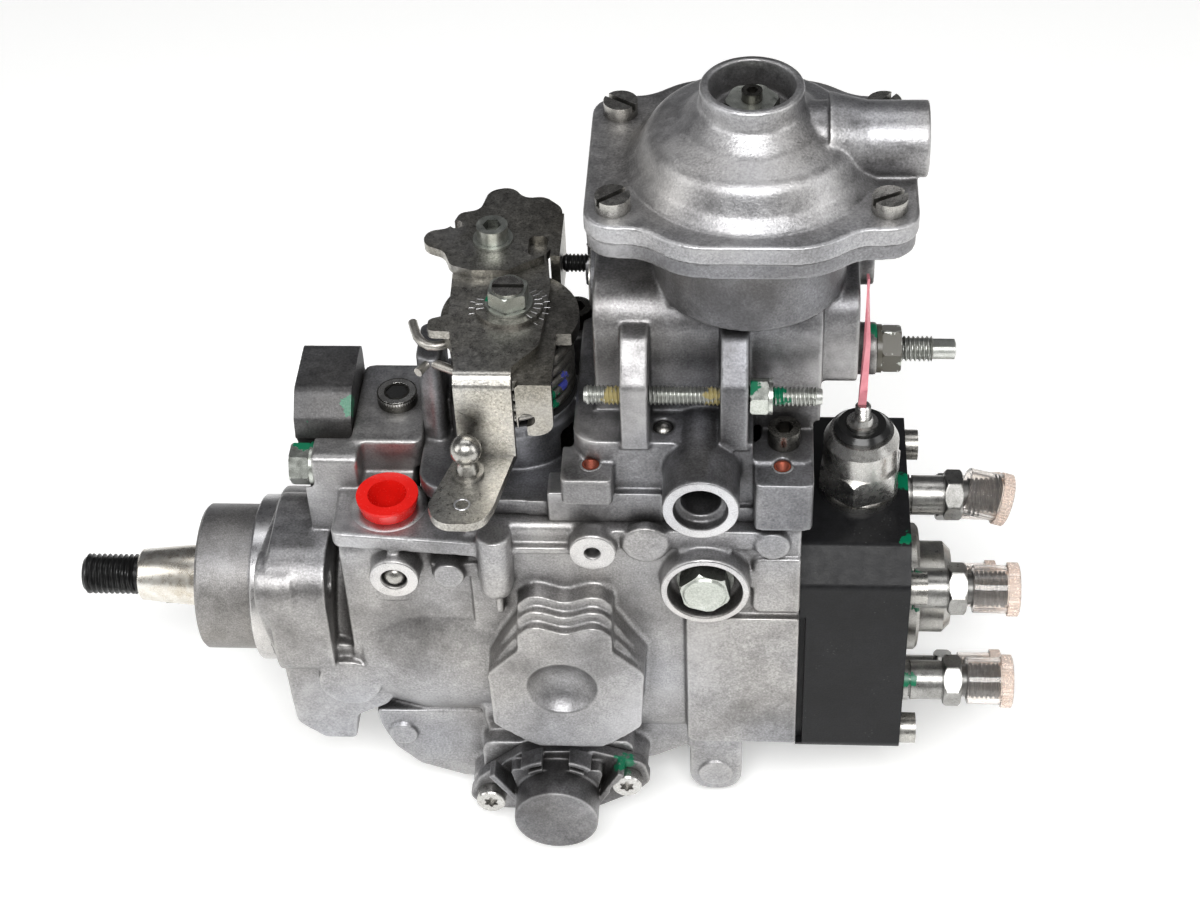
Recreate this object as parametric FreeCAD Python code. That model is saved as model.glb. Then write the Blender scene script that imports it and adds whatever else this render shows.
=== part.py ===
import FreeCAD, Part
import math
import os

# Distributor type diesel injection pump, in millimetres.
# +X runs along the drive axis from the drive end to the distributor head, +Z is up, and the
# side with the timing cover and the hexagon plug looks along -Y.
# The origin is on the drive axis, at the shoulder where the pilot meets the flange's seat ring.

os.makedirs("parts", exist_ok=True)
Vec = FreeCAD.Vector

# Clearances
RUN = 0.05          # radial clearance of a running fit
GAP = 0.3           # clearance between pieces that pass each other
WALL = 6.0          # usual casting wall

# Mounting end
PILOT_R = 25.0
PILOT_L = 20.0
SEAT_R = 28.5
SEAT_L = 7.0
FLANGE_END = 28.0
EAR_R = 43.0        # distance of the mounting holes from the drive axis
EAR_ROUND = 11.5
MOUNT_HOLE_R = 4.5
EAR_ANGLES = (137.0, 317.0)

# Housing
CAVITY_R = 34.0
BARREL_R = 44.0
NECK_END = 34.0
BODY_START = 78.0
BODY_Y = 40.0
BODY_BOTTOM = -38.0
PART_Z = 66.0       # joint face under the governor cover
HEAD_X = 183.0      # joint face of the distributor head
PLATFORM_Z = 62.0
PLATFORM_T = 6.0
UPPER_Y = 27.0      # half width of the governor space
UPPER_X0 = 59.0
UPPER_X1 = 170.0
UPPER_FLOOR = 20.0
PLATEAU_Z = 75.0
INLET_X = 52.0
INLET_Y = -27.5
INLET_R = 7.0
RECESS_Z = 45.4     # ringed recess of the hexagon plug
RECESS_SEAT = -40.8
BLOCK_BOLT_Y = -12.0
BLOCK_BOLT_Z = 65.0
BLOCK_BOLT_R = 4.0

# Drive shaft
THREAD_R = 7.0
SHAFT_TIP = -63.8
TAPER_START = -43.7
TAPER_R0 = 8.8
TAPER_R1 = 11.0
JOURNAL_R = 11.0
STEM_R = 9.0
SHAFT_FLANGE_R = 12.0
TONGUE_W = 8.0
SEAL_R = 16.0
BUSH_R = 13.0
BUSH_END = 36.0

# Vane feed pump
FEED_X0 = 40.0
FEED_X1 = 54.0
FEED_BORE_R = 23.0
FEED_OFFSET = 2.4
ROTOR_R = 20.4
VANE_T = 2.5

# Governor drive
MODULE = 1.5
DRIVE_TEETH = 37
GOVERNOR_TEETH = 23
GOVERNOR_Z = MODULE * (DRIVE_TEETH + GOVERNOR_TEETH) / 2
GEAR_X0 = 60.0
GEAR_L = 8.0
BACKLASH = 0.6
GOVERNOR_PIN_R = 4.0
WEIGHT_COUNT = 4
SLEEVE_R = 7.0
SLEEVE_X0 = 89.2
PIVOT_X = 152.0     # cross shaft of the governor lever
PIVOT_Z = 24.0
PIVOT_R = 3.5
LEVER_TOP = 80.0
LEVER_T = 3.0

# Cam drive and distributor
CYLINDERS = 6
ROLLER_R = 4.5
ROLLER_X = 107.5
CAM_LIFT = 2.2
CAM_X = ROLLER_X + ROLLER_R + 0.1
LOBE_R = 12.0
RING_X0 = 90.0
PLUNGER_R = 5.5
SPOOL_R = 11.0
SPOOL_X = 152.0
SPOOL_W = 12.0
BARREL_X0 = 165.0
HEAD_NOSE_R = 14.0

# Timing device, across the bottom of the housing
TIMING_X = 102.7
TIMING_Z = -50.0
TIMING_R = 13.5
TIMING_WALL_R = 20.5
TIMING_NEAR = -44.5
TIMING_CUP_L = 15.5  # length of the near cover's cup
TIMING_CUP_R = 14.2
TIMING_CUP_FLOOR = 3.0
TIMING_FAR = 42.0
TIMING_TILT = 12.0  # degrees that the near cover's screw line leans
SCREW_SPAN = 24.0   # distance of a timing cover screw from the timing axis

# Distributor head
HEAD_L = 35.0
HEAD_HALF = 40.0
HEAD_TOP = 50.0
BOLT_EDGE = 6.0      # from a head bolt's axis to the head's side
HEAD_BOLT = HEAD_HALF - BOLT_EDGE
HEAD_BOLT_R = 3.0
OUTLET_EDGE = 4.5    # from the outlets' pitch circle to the head's side
OUTLET_R = HEAD_HALF - OUTLET_EDGE
OUTLET_START = 45.0
HOLDER_R = 6.6
HOLDER_FOOT_R = 4.0
HOLDER_HEX = 15.0
OUTLET_THREAD_R = 6.0
HOLDER_L = 32.0
OUTLET_THREAD_L = 10.8
THROAT_L = 2.2
HOLDER_HEX_L = 5.8
VALVE_R = 2.8
CAP_R = 7.9
CAP_RIM_R = 8.8
CAP_RIM_L = 4.0

# Shut-off solenoid
SOL_X = 202.0
SOL_Y = -4.0
SOL_HEX = 24.0
SOL_SHELL_R = 12.0

# Governor cover
DECK_Z = 97.0
COVER_Y = 35.0
COVER_X0 = 62.0
COVER_X1 = 186.0
BOX_X0 = 119.0
BOX_X1 = 199.0
BOX_Y0 = -20.0
BOX_Y1 = 34.0
BOX_TOP = 139.0
COVER_SCREW_R = 3.0
PORT_X = 152.0
PORT_Z = 87.0
PORT_R = 11.75
PORT_FACE = -54.0
LUG_TOP = 89.0
MAX_Y = -30.0
MAX_Z = 112.0
STOP_R = 3.0
FULL_R = 4.0
DISC_Y = 12.0       # closing disc in the cover's end wall
DISC_Z = 123.5
IDLE_Y = 30.0
IDLE_Z = 115.0
FULL_Y = 3.0
FULL_Z = 103.2

# Boost compensator
BOOST_X = 166.0
BOOST_R = 42.0
BOOST_HALF_X = 47.5
BOOST_HALF_Y = 33.0
BOOST_SCREW_X = 39.0
BOOST_SCREW_Y = 23.5
BOOST_SEAM = 171.0
BOOST_FLANGE_T = 5.5
BOOST_TOP = 203.0
BOOST_TUBE_R = 15.0
BOOST_BORE_R = 12.4
BOOST_NUT_Z = 193.0
NECK_R = 29.0
CHAMBER_R = 33.0
RIM_R = 36.0        # clamped rim of the diaphragm
PIN_R = 6.0

# Control lever
LEVER_X = 92.0
LEVER_R = 5.0
LEVER_RISE = 21.0    # lever plate over the governor cover's deck
LEVER_Z = DECK_Z + LEVER_RISE
LEVER_PLATE = 3.0
SPRING_PLATE_T = 4.5
SPRING_PLATE_Z = LEVER_Z - SPRING_PLATE_T
SPRING_PLATE_R = 21.5
ARM_DROP = 28.0
ARM_Z = LEVER_Z - ARM_DROP
ARM_Y = -31.0
SPRING_R = 17.8
SPRING_WIRE = 1.6
SPRING_TURNS = 5
SPRING_ROOM = 24.5
SEAT_Z = SPRING_PLATE_Z - SPRING_ROOM


def rod(start, end, radius):
    axis = Vec(*end) - Vec(*start)
    return Part.makeCylinder(radius, axis.Length, Vec(*start), axis)


def tube(start, end, outer, inner):
    return rod(start, end, outer).cut(rod(start, end, inner))


def taper(start, end, first, last):
    axis = Vec(*end) - Vec(*start)
    return Part.makeCone(first, last, axis.Length, Vec(*start), axis)


def block(x, y, z):
    return Part.makeBox(x[1] - x[0], y[1] - y[0], z[1] - z[0], Vec(x[0], y[0], z[0]))


def ball(centre, radius):
    return Part.makeSphere(radius, Vec(*centre))


def join(first, *others):
    return first.multiFuse(list(others)).removeSplitter()


def remove(first, *others):
    for other in others:
        first = first.cut(other)
    return first


def group(shapes):
    return Part.makeCompound(shapes)


def turned(shape, degrees, axis=(1, 0, 0), centre=(0, 0, 0)):
    copy = shape.copy()
    copy.rotate(Vec(*centre), Vec(*axis), degrees)
    return copy


def moved(shape, x=0.0, y=0.0, z=0.0):
    copy = shape.copy()
    copy.translate(Vec(x, y, z))
    return copy


def outline(points, radii, place):
    """Closed wire through flat points with rounded corners; place maps (u, v) into space."""
    count = len(points)
    if not isinstance(radii, (list, tuple)):
        radii = [radii] * count
    corners = []
    for i in range(count):
        here = Vec(points[i][0], points[i][1], 0)
        back = Vec(points[i - 1][0], points[i - 1][1], 0) - here
        ahead = Vec(points[(i + 1) % count][0], points[(i + 1) % count][1], 0) - here
        back.normalize()
        ahead.normalize()
        half = back.getAngle(ahead) / 2
        if radii[i] <= 0 or half > math.pi / 2 - 0.01:
            corners.append((here, here, here))
            continue
        reach = radii[i] / math.tan(half)
        bisector = back + ahead
        bisector.normalize()
        middle = here + bisector * (radii[i] / math.sin(half) - radii[i])
        corners.append((here + back * reach, middle, here + ahead * reach))
    edges = []
    for i in range(count):
        first, middle, last = corners[i]
        if (last - first).Length > 1e-6:
            edges.append(Part.Arc(place(first), place(middle), place(last)).toShape())
        following = corners[(i + 1) % count][0]
        if (following - last).Length > 1e-6:
            edges.append(Part.makeLine(place(last), place(following)))
    return Part.Wire(edges)


def plate(points, radii, axis, low, high):
    """Flat piece with a rounded outline, from low to high along x, y or z."""
    places = {
        "x": (lambda p: Vec(low, p.x, p.y), Vec(high - low, 0, 0)),
        "y": (lambda p: Vec(p.x, low, p.y), Vec(0, high - low, 0)),
        "z": (lambda p: Vec(p.x, p.y, low), Vec(0, 0, high - low)),
    }
    place, way = places[axis]
    return Part.Face(outline(points, radii, place)).extrude(way)


def rectangle(u, v):
    return [(u[0], v[0]), (u[1], v[0]), (u[1], v[1]), (u[0], v[1])]


def hexagon(start, end, flats, turn=0.0):
    axis = Vec(*end) - Vec(*start)
    side = Vec(0, 0, 1) if abs(axis.z) < 0.9 * axis.Length else Vec(1, 0, 0)
    side = side - axis * (side.dot(axis) / axis.dot(axis))
    side.normalize()
    other = axis.cross(side)
    other.normalize()
    radius = flats / math.sqrt(3)
    points = []
    for i in range(7):
        angle = math.radians(turn + 60 * i)
        points.append(Vec(*start) + side * (radius * math.cos(angle)) + other * (radius * math.sin(angle)))
    return Part.Face(Part.makePolygon(points)).extrude(axis)


def nut_body(start, end, flats, turn=0.0):
    """Hexagon with turned corners on both faces."""
    axis = Vec(*end) - Vec(*start)
    radius = flats / math.sqrt(3)
    low = radius - 0.55 * axis.Length
    step = 0.12 * axis.Length
    unit = axis * (1 / axis.Length)
    a = Vec(*start)
    b = Vec(*end)
    first = Part.makeCone(radius * 0.93, radius * 1.001, step, a, unit)
    last = Part.makeCone(radius * 1.001, radius * 0.93, step, b - unit * step, unit)
    middle = Part.makeCylinder(radius * 1.001, axis.Length - 2 * step, a + unit * step, unit)
    if low < 0:
        return hexagon(start, end, flats, turn)
    return hexagon(start, end, flats, turn).common(first.fuse([middle, last]))


def slotted_screw(foot, seat, radius, head_r, head_h, slot_turn):
    """Cheese-head screw that stands up from foot to seat, its head on the seat."""
    x, y, z = foot
    top = seat + head_h
    screw = rod((x, y, z), (x, y, seat), radius).fuse(rod((x, y, seat), (x, y, top), head_r))
    slot = block((-head_r, head_r), (-0.8, 0.8), (-2.2, 1))
    slot = moved(turned(slot, slot_turn, (0, 0, 1)), x, y, top)
    return screw.cut(slot)


def socket_screw(foot, seat, radius, head_r, head_h):
    """Cylinder-head screw along +Z with a hexagon socket."""
    x, y, z = foot
    top = seat + head_h
    screw = rod((x, y, z), (x, y, seat), radius).fuse(rod((x, y, seat), (x, y, top), head_r))
    return screw.cut(hexagon((x, y, top - 0.6 * head_h), (x, y, top + 1), head_r))


def coil(mean, wire, length, turns):
    """Helical spring along +Z from the origin, its wire six-sided."""
    pitch = (length - 2 * wire) / turns
    helix = Part.makeHelix(pitch, pitch * turns, mean)
    slope = math.atan2(pitch, 2 * math.pi * mean)
    points = []
    for i in range(7):
        out = wire * math.cos(math.radians(60 * i))
        up = wire * math.sin(math.radians(60 * i))
        points.append(Vec(mean + out, -up * math.sin(slope), up * math.cos(slope)))
    spring = Part.Wire(helix.Edges).makePipeShell([Part.makePolygon(points)], True, True)
    spring.translate(Vec(0, 0, wire))
    return spring


def gear(teeth, x, length, first_angle, centre_z):
    """Spur gear blank about X with straight flanks, one tooth centred at first_angle."""
    pitch_r = MODULE * teeth / 2
    levels = [(-1.2, 0.64), (0.9, -0.5)]
    points = []
    half = (math.pi * MODULE - BACKLASH) / 4
    for i in range(teeth):
        angle = math.radians(first_angle) + 2 * math.pi * i / teeth
        tooth = []
        for depth, widen in levels:
            radius = pitch_r + depth * MODULE
            tooth.append((radius, (half + widen * MODULE * 0.72) / radius))
        for radius, half_angle in tooth:
            points.append((radius, angle - half_angle))
        for radius, half_angle in reversed(tooth):
            points.append((radius, angle + half_angle))
    corners = [Vec(x, r * math.cos(a), centre_z + r * math.sin(a)) for r, a in points]
    face = Part.Face(Part.makePolygon(corners + [corners[0]]))
    return face.extrude(Vec(length, 0, 0))


def around(count, start=0.0):
    return [start + 360.0 * i / count for i in range(count)]


def polar(radius, degrees):
    """Place on a circle about the drive axis; 0 degrees looks along +Y, 90 along +Z."""
    return radius * math.cos(math.radians(degrees)), radius * math.sin(math.radians(degrees))


def outlet_places():
    """Six outlets; the first lies on the near upper side."""
    return [polar(OUTLET_R, 180.0 - angle) for angle in around(CYLINDERS, OUTLET_START)]


def head_bolt_places():
    return [(y, z) for y in (-HEAD_BOLT, HEAD_BOLT) for z in (-HEAD_BOLT, HEAD_BOLT)]


def boost_screw_places():
    return [(BOOST_X + sx * BOOST_SCREW_X, sy * BOOST_SCREW_Y) for sx in (-1, 1) for sy in (-1, 1)]


def cover_screw_places():
    """Place and seat height of the governor cover's socket screws."""
    return [
        (177.0, -26.0, 90.0),
        (176.0, 36.0, 74.0),
        (72.0, 30.0, 72.0),
        (110.0, 29.0, DECK_Z - 5),
    ]


def timing_screw_places():
    """X and Z of the two timing cover screws."""
    tilt = math.radians(TIMING_TILT)
    reach = (SCREW_SPAN * math.cos(tilt), SCREW_SPAN * math.sin(tilt))
    return [(TIMING_X - reach[0], TIMING_Z - reach[1]), (TIMING_X + reach[0], TIMING_Z + reach[1])]


def flange():
    """Pilot, seat ring and two-eared flange with its near block."""
    pieces = [rod((SEAT_L, 0, 0), (FLANGE_END, 0, 0), SEAT_R + 3)]
    for angle in EAR_ANGLES:
        y, z = polar(EAR_R, angle)
        pieces.append(rod((SEAT_L, y, z), (FLANGE_END - 9, y, z), EAR_ROUND))
        reach = [polar(SEAT_R + 3, angle + 75), polar(SEAT_R + 3, angle - 75)]
        out = [polar(EAR_R + EAR_ROUND / 2, angle - 12), polar(EAR_R + EAR_ROUND / 2, angle + 12)]
        pieces.append(plate([out[0], out[1], reach[0], reach[1]], 0, "x", SEAT_L, FLANGE_END - 9))
    pieces.append(plate(rectangle((-42, 6), (-8, 43)), [12, 4, 14, 15], "x", SEAT_L + 3.5, FLANGE_END + 2))
    body = join(rod((-PILOT_L, 0, 0), (SEAT_L, 0, 0), PILOT_R), rod((0, 0, 0), (SEAT_L, 0, 0), SEAT_R),
                *pieces)
    edge = [e for e in body.Edges if abs(e.BoundBox.XMin + PILOT_L) < 1e-3 and abs(e.BoundBox.XMax + PILOT_L) < 1e-3]
    body = body.makeFillet(1.8, edge)
    return body


def flange_lug():
    """Thick lug from the near lower ear back to the barrel, with its round machined pad."""
    outer = [(SEAT_L + 4, -6), (SEAT_L + 5, -34), (21, -42), (32, -42), (33.5, -30), (46, -23), (47.5, 4),
             (30, 6)]
    lug = plate(outer, [4, 6, 4, 2, 3, 5, 5, 3], "y", -37, -14)
    pad = rod((33.5, -40.5, -9.5), (33.5, -30, -9.5), 10.5)
    return [lug, pad]


def lower_webs():
    """Slanting casting walls under the barrel, on both sides of the timing cylinder."""
    left = [(40, -28), (88, -28), (88, -64), (68, -62), (53, -56), (45, -47), (41, -36)]
    right = [(122, -30), (147, -30), (147, -45), (135, -52), (122, -55)]
    return [plate(left, [0, 0, 0, 10, 6, 6, 4], "y", -36, -8), rod((48.5, -38, -38.5), (48.5, -30, -38.5),
        5.0),
            plate(right, [0, 0, 3, 5, 0], "y", -34, -6)]


def octagon_boss():
    """Eight-sided boss over the roller ring with a two-humped top in three steps."""
    points = [(93, -21), (98, -24), (118, -24), (123, -21), (132, -13), (133.5, 13), (123.5, 23), (123.5, 30),
              (119, 35), (108.5, 31), (98, 35), (93, 30), (93, 23), (82.5, 12), (83, -13)]
    radii = [3, 3, 3, 3, 4, 4, 2, 2, 6, 7, 6, 2, 2, 4, 4]
    face = plate(points, radii, "y", -54, -BODY_Y + 2)
    steps = []
    for rise, depth in ((3.5, -50.5), (7.0, -47.0)):
        higher = [(x, z + rise if z > 20 else z) for x, z in points]
        steps.append(plate(higher, radii, "y", depth, -BODY_Y + 2))
    dimple = ball((106.5, -54 - 6.8, 5), 13.6)
    return [layer.cut(dimple) for layer in [face] + steps]


def near_side():
    """Bosses, pads, ribs and recess ring on the near wall."""
    wall = -BODY_Y + 3
    items = [
        rod((54.5, -46, 47), (54.5, -25, 47), 8),
        rod((72, -45.5, 48), (72, -25, 48), 5),
        rod((87, -43.5, 44), (87, -43.5, PART_Z), 5.5),
        ball((87, -43.5, 44), 5.5),
        block((86, 88.5), (-44, wall), (30, 46)),
        block((66, 84), (-42.5, -30), (45, 51)),
        rod((118, -46, 60), (118, wall, 60), 7.5),
        rod((134.5, -43.5, 61), (134.5, wall, 61), 7.5),
        rod((174, -43.5, 61), (174, wall, 61), 5.5),
        block((90, 114), (-43, wall), (56, 59)),
        block((120, 172), (-42, wall), (58, PART_Z)),
        rod((153, -48, RECESS_Z), (153, wall, RECESS_Z), 14.2),
        plate(rectangle((146.5, HEAD_X), (-33, 28)), [4, 0, 0, 2], "y", -43, wall),
        plate(rectangle((168, HEAD_X), (30, 54)), [3, 0, 0, 3], "y", -42, wall),
    ]
    return items


def foot():
    """Rear support lug under the head end."""
    profile = [(147, -28), (165, -28), (165, -68), (147, -68)]
    lug = plate(profile, [0, 0, 8, 8], "y", -35, -16)
    pad = rod((156, -36.5, -58), (156, -30, -58), 6)
    rib = plate([(150, -30), (162, -30), (160, -66), (152, -66)], 0, "y", -20, 20)
    tongue = block((152, 160), (16, 30), (-68, -30))
    return [lug, pad, rib, tongue]


def barrel():
    """Round drive-end part of the housing, over feed pump and roller ring."""
    profile = [
        (FLANGE_END - 2, 0), (FLANGE_END - 2, 33), (NECK_END, 33), (NECK_END + 6, 40), (58, BARREL_R),
        (BODY_START + 8, BARREL_R), (BODY_START + 8, 0),
    ]
    place = lambda p: Vec(p.x, 0, p.y)
    wire = outline(profile, [0, 0, 4, 6, 10, 0, 0], place)
    return Part.Face(wire).revolve(Vec(0, 0, 0), Vec(1, 0, 0), 360)


def housing_inside():
    """Everything that is bored or cored out of the housing."""
    upper = join(plate(rectangle((UPPER_X0, UPPER_X1), (-UPPER_Y, UPPER_Y)), 5, "z", UPPER_FLOOR, PART_Z - 2),
                 plate(rectangle((UPPER_X0 + 5, UPPER_X1), (-UPPER_Y, UPPER_Y)), 5, "z", PART_Z - 10, PART_Z + 1))
    cuts = [
        rod((-PILOT_L - 1, 0, 0), (-12, 0, 0), SEAL_R),
        rod((-PILOT_L - 1, 0, 0), (BUSH_END, 0, 0), BUSH_R),
        rod((BUSH_END, 0, 0), (HEAD_X + 1, 0, 0), CAVITY_R),
        upper,
        rod((TIMING_X, TIMING_NEAR - 1, TIMING_Z), (TIMING_X, TIMING_FAR + 1, TIMING_Z), TIMING_R),
        block((TIMING_X - 6, TIMING_X + 6), (-13, 13), (TIMING_Z, -CAVITY_R + 4)),
        rod((GEAR_X0 - 12, 0, GOVERNOR_Z), (GEAR_X0, 0, GOVERNOR_Z), GOVERNOR_PIN_R),
        rod((PIVOT_X, -UPPER_Y - 6, PIVOT_Z), (PIVOT_X, UPPER_Y + 6, PIVOT_Z), PIVOT_R + RUN),
        rod((INLET_X, INLET_Y, PLATFORM_Z + 2), (INLET_X, INLET_Y, 40), INLET_R),
        rod((54.5, -47, 47), (54.5, -38.4, 47), 4.0),
        rod((26, BLOCK_BOLT_Y, BLOCK_BOLT_Z), (38, BLOCK_BOLT_Y, BLOCK_BOLT_Z), BLOCK_BOLT_R),
        rod((52, 8, PLATEAU_Z - 8), (52, 8, PLATEAU_Z + 1), 4.0),
        rod((18, BLOCK_BOLT_Y, BLOCK_BOLT_Z), (27, BLOCK_BOLT_Y, BLOCK_BOLT_Z), 8.0),
        block((104, COVER_X1 + 1), (-BODY_Y + 0.6, -30), (PART_Z, PART_Z + 8)),
        rod((118, -47, 60), (118, -41, 60), 2.5),
        rod((153, -49, RECESS_Z), (153, RECESS_SEAT, RECESS_Z), 11.8),
        rod((153, RECESS_SEAT - 0.5, RECESS_Z), (153, -34, RECESS_Z), 5.0),
    ]
    for y, z in head_bolt_places():
        cuts.append(rod((HEAD_X - 14, y, z), (HEAD_X + 1, y, z), HEAD_BOLT_R))
    for x, y, seat in cover_screw_places():
        cuts.append(rod((x, y, PART_Z - 16), (x, y, PART_Z + 1), COVER_SCREW_R))
    for x, z in timing_screw_places():
        cuts.append(rod((x, TIMING_NEAR - 1, z), (x, TIMING_NEAR + 12, z), 2.5))
    for side in (-1, 1):
        x = TIMING_X + side * SCREW_SPAN
        cuts.append(rod((x, TIMING_FAR - 12, TIMING_Z), (x, TIMING_FAR + 1, TIMING_Z), 2.5))
    for angle in EAR_ANGLES:
        y, z = polar(EAR_R, angle)
        cuts.append(rod((SEAT_L - 1, y, z), (FLANGE_END + 2, y, z), MOUNT_HOLE_R))
    return cuts


def pump_housing():
    section = [(-BODY_Y, PART_Z), (-BODY_Y, BODY_BOTTOM), (BODY_Y, BODY_BOTTOM), (BODY_Y, PART_Z)]
    body = plate(section, [3, 17, 17, 3], "x", BODY_START, HEAD_X)
    drive_top = plate(rectangle((-38, 38), (0, PLATFORM_Z - PLATFORM_T)), [0, 0, 8, 8], "x", NECK_END + 2,
                      BODY_START + 2)
    platform = plate([(35, -41), (86, -45), (86, 40), (35, 40)], [3, 3, 3, 3], "z", PLATFORM_Z - PLATFORM_T,
                     PLATFORM_Z)
    under = rod((INLET_X, INLET_Y, 30), (INLET_X, INLET_Y, PLATFORM_Z - 1), 12)
    plateau = plate([(39, -12), (62, -12), (62, 26), (39, 26)], 3, "z", PLATFORM_Z - 2, PLATEAU_Z)
    boss = rod((TIMING_X, TIMING_NEAR, TIMING_Z), (TIMING_X, TIMING_FAR, TIMING_Z), TIMING_WALL_R)
    web = plate([(76, -20), (130, -20), (124, -58), (82, -56)], [0, 0, 12, 12], "y", -38, 36)
    lugs = []
    for x, z in timing_screw_places():
        lugs.append(rod((x, TIMING_NEAR, z), (x, TIMING_NEAR + 16, z), 7))
    for side in (-1, 1):
        x = TIMING_X + side * SCREW_SPAN
        lugs.append(rod((x, TIMING_FAR - 16, TIMING_Z), (x, TIMING_FAR, TIMING_Z), 7))
    sides = plate([(TIMING_X - 26, TIMING_Z - 6), (TIMING_X + 24, TIMING_Z - 2),
                   (TIMING_X + 26, TIMING_Z + 18),
                   (TIMING_X - 26, TIMING_Z + 16)], 4, "y", TIMING_NEAR, TIMING_FAR)
    bolt_lug = plate(rectangle((-20, -8.4), (PLATFORM_Z - 14, PLATFORM_Z + 12.5)), 2.5, "x", 27, 42)
    saddle = block((24, 40), (-20, 28), (40, PLATFORM_Z))
    bump = [bolt_lug, saddle, block((NECK_END, 60), (10, 38), (30, PLATFORM_Z)),
            rod((150, BODY_Y + 3, 30), (150, BODY_Y - 4, 30), 11)]
    shape = join(body, barrel(), flange(), drive_top, platform, under, plateau, boss, web, sides, *lugs,
                 *bump,
                 *near_side(), *octagon_boss(), *foot(), *flange_lug(), *lower_webs())
    return remove(shape, *housing_inside())


def cover_solid():
    """Outer form of the governor cover, before it is cored."""
    base = plate([(COVER_X0, -28), (84, -COVER_Y), (COVER_X1, -COVER_Y - 3), (COVER_X1, COVER_Y + 3),
                  (COVER_X0, COVER_Y)],
                 [10, 6, 4, 4, 10], "z", PART_Z, PART_Z + 6)
    main = plate(rectangle((112.5, COVER_X1), (-COVER_Y, COVER_Y + 1)), [8, 3, 3, 8], "z", PART_Z, DECK_Z)
    section = [(BOX_Y0, DECK_Z - 4), (BOX_Y1, DECK_Z - 4), (BOX_Y1, BOX_TOP), (BOX_Y0, BOX_TOP)]
    box = plate(section, [0, 0, 8, 13], "x", BOX_X0, COVER_X1 + 2)
    over = plate([(BOX_Y0 + 4, DECK_Z + 7), (BOX_Y1 - 4, DECK_Z + 7), (BOX_Y1, BOX_TOP - 2),
                  (BOX_Y0 + 4, BOX_TOP - 2)],
                 [4, 4, 8, 10], "x", COVER_X1 - 2, BOX_X1)
    tower = rod((LEVER_X, 0, PART_Z), (LEVER_X, 0, SEAT_Z - 3), 21).fuse(rod((LEVER_X, 0, 80),
        (LEVER_X, 0, SEAT_Z), 20))
    post = rod((LEVER_X, 0, SEAT_Z - 3), (LEVER_X, 0, LEVER_Z - 8), 12)
    hook_post = plate([(62, -6), (70, -10), (70, 12), (62, 10)], 3, "z", PART_Z, 106)
    ear = plate([(100, 20), (118, 20), (118, 38), (100, 38)], 4, "z", PART_Z, DECK_Z - 5)
    far_ear = rod((176, 36, PART_Z), (176, 36, 74), 7.5)
    items = [main, box, over, tower, post, hook_post, ear, far_ear]
    items.append(rod((BOX_X0 - 2, DISC_Y, DISC_Z), (BOX_X0 + 10, DISC_Y, DISC_Z), 10.5))
    items.append(rod((PORT_X, PORT_FACE, PORT_Z), (PORT_X, -20, PORT_Z), PORT_R))
    items.append(plate(rectangle((168, COVER_X1), (-45, -28)), [2, 2, 0, 0], "z", 70, LUG_TOP))
    items.append(plate(rectangle((109, 125), (-44, -28)), [2, 2, 0, 0], "z", 79, LUG_TOP))
    items.append(block((104, 140), (-38, -28), (PART_Z, 78)))
    for x in (127.5, 157.5):
        rib = [(-36, DECK_Z - 2), (-18, DECK_Z - 2), (-18, 131), (-25, 131), (-36, 119)]
        items.append(plate(rib, [0, 0, 0, 5, 5], "x", x, x + 8.5))
    items.append(rod((114, IDLE_Y, IDLE_Z), (BOX_X0 + 10, IDLE_Y, IDLE_Z), 7.5))
    items.append(rod((COVER_X1 - 6, FULL_Y, FULL_Z), (205.5, FULL_Y, FULL_Z), 8.2))
    items.append(rod((COVER_X1 - 2, 18, 128), (204, 18, 128), 9))
    items.append(rod((BOOST_X, 0, BOX_TOP - 3), (BOOST_X, 0, BOOST_SEAM - 4), NECK_R))
    items.append(taper((BOOST_X, 0, BOOST_SEAM - 13), (BOOST_X, 0, BOOST_SEAM - 4), NECK_R, BOOST_R - 4))
    items.append(boost_plate(BOOST_SEAM - BOOST_FLANGE_T, BOOST_SEAM, 0.6))
    return join(base, *items)


def boost_plate(low, high, grow=0.0):
    """Outline of the compensator flange: a round rim with a wavy corner at each screw."""
    hx = BOOST_HALF_X - grow
    hy = BOOST_HALF_Y - grow
    bulge = BOOST_R - grow
    near = [(-hx, -hy), (-31, -hy), (-19, -bulge), (19, -bulge), (31, -hy), (hx, -hy)]
    points = near + [(x, -y) for x, y in reversed(near)]
    radii = [9, 14, 22, 22, 14, 9] * 2
    return plate([(BOOST_X + x, y) for x, y in points], radii, "z", low, high)


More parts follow.
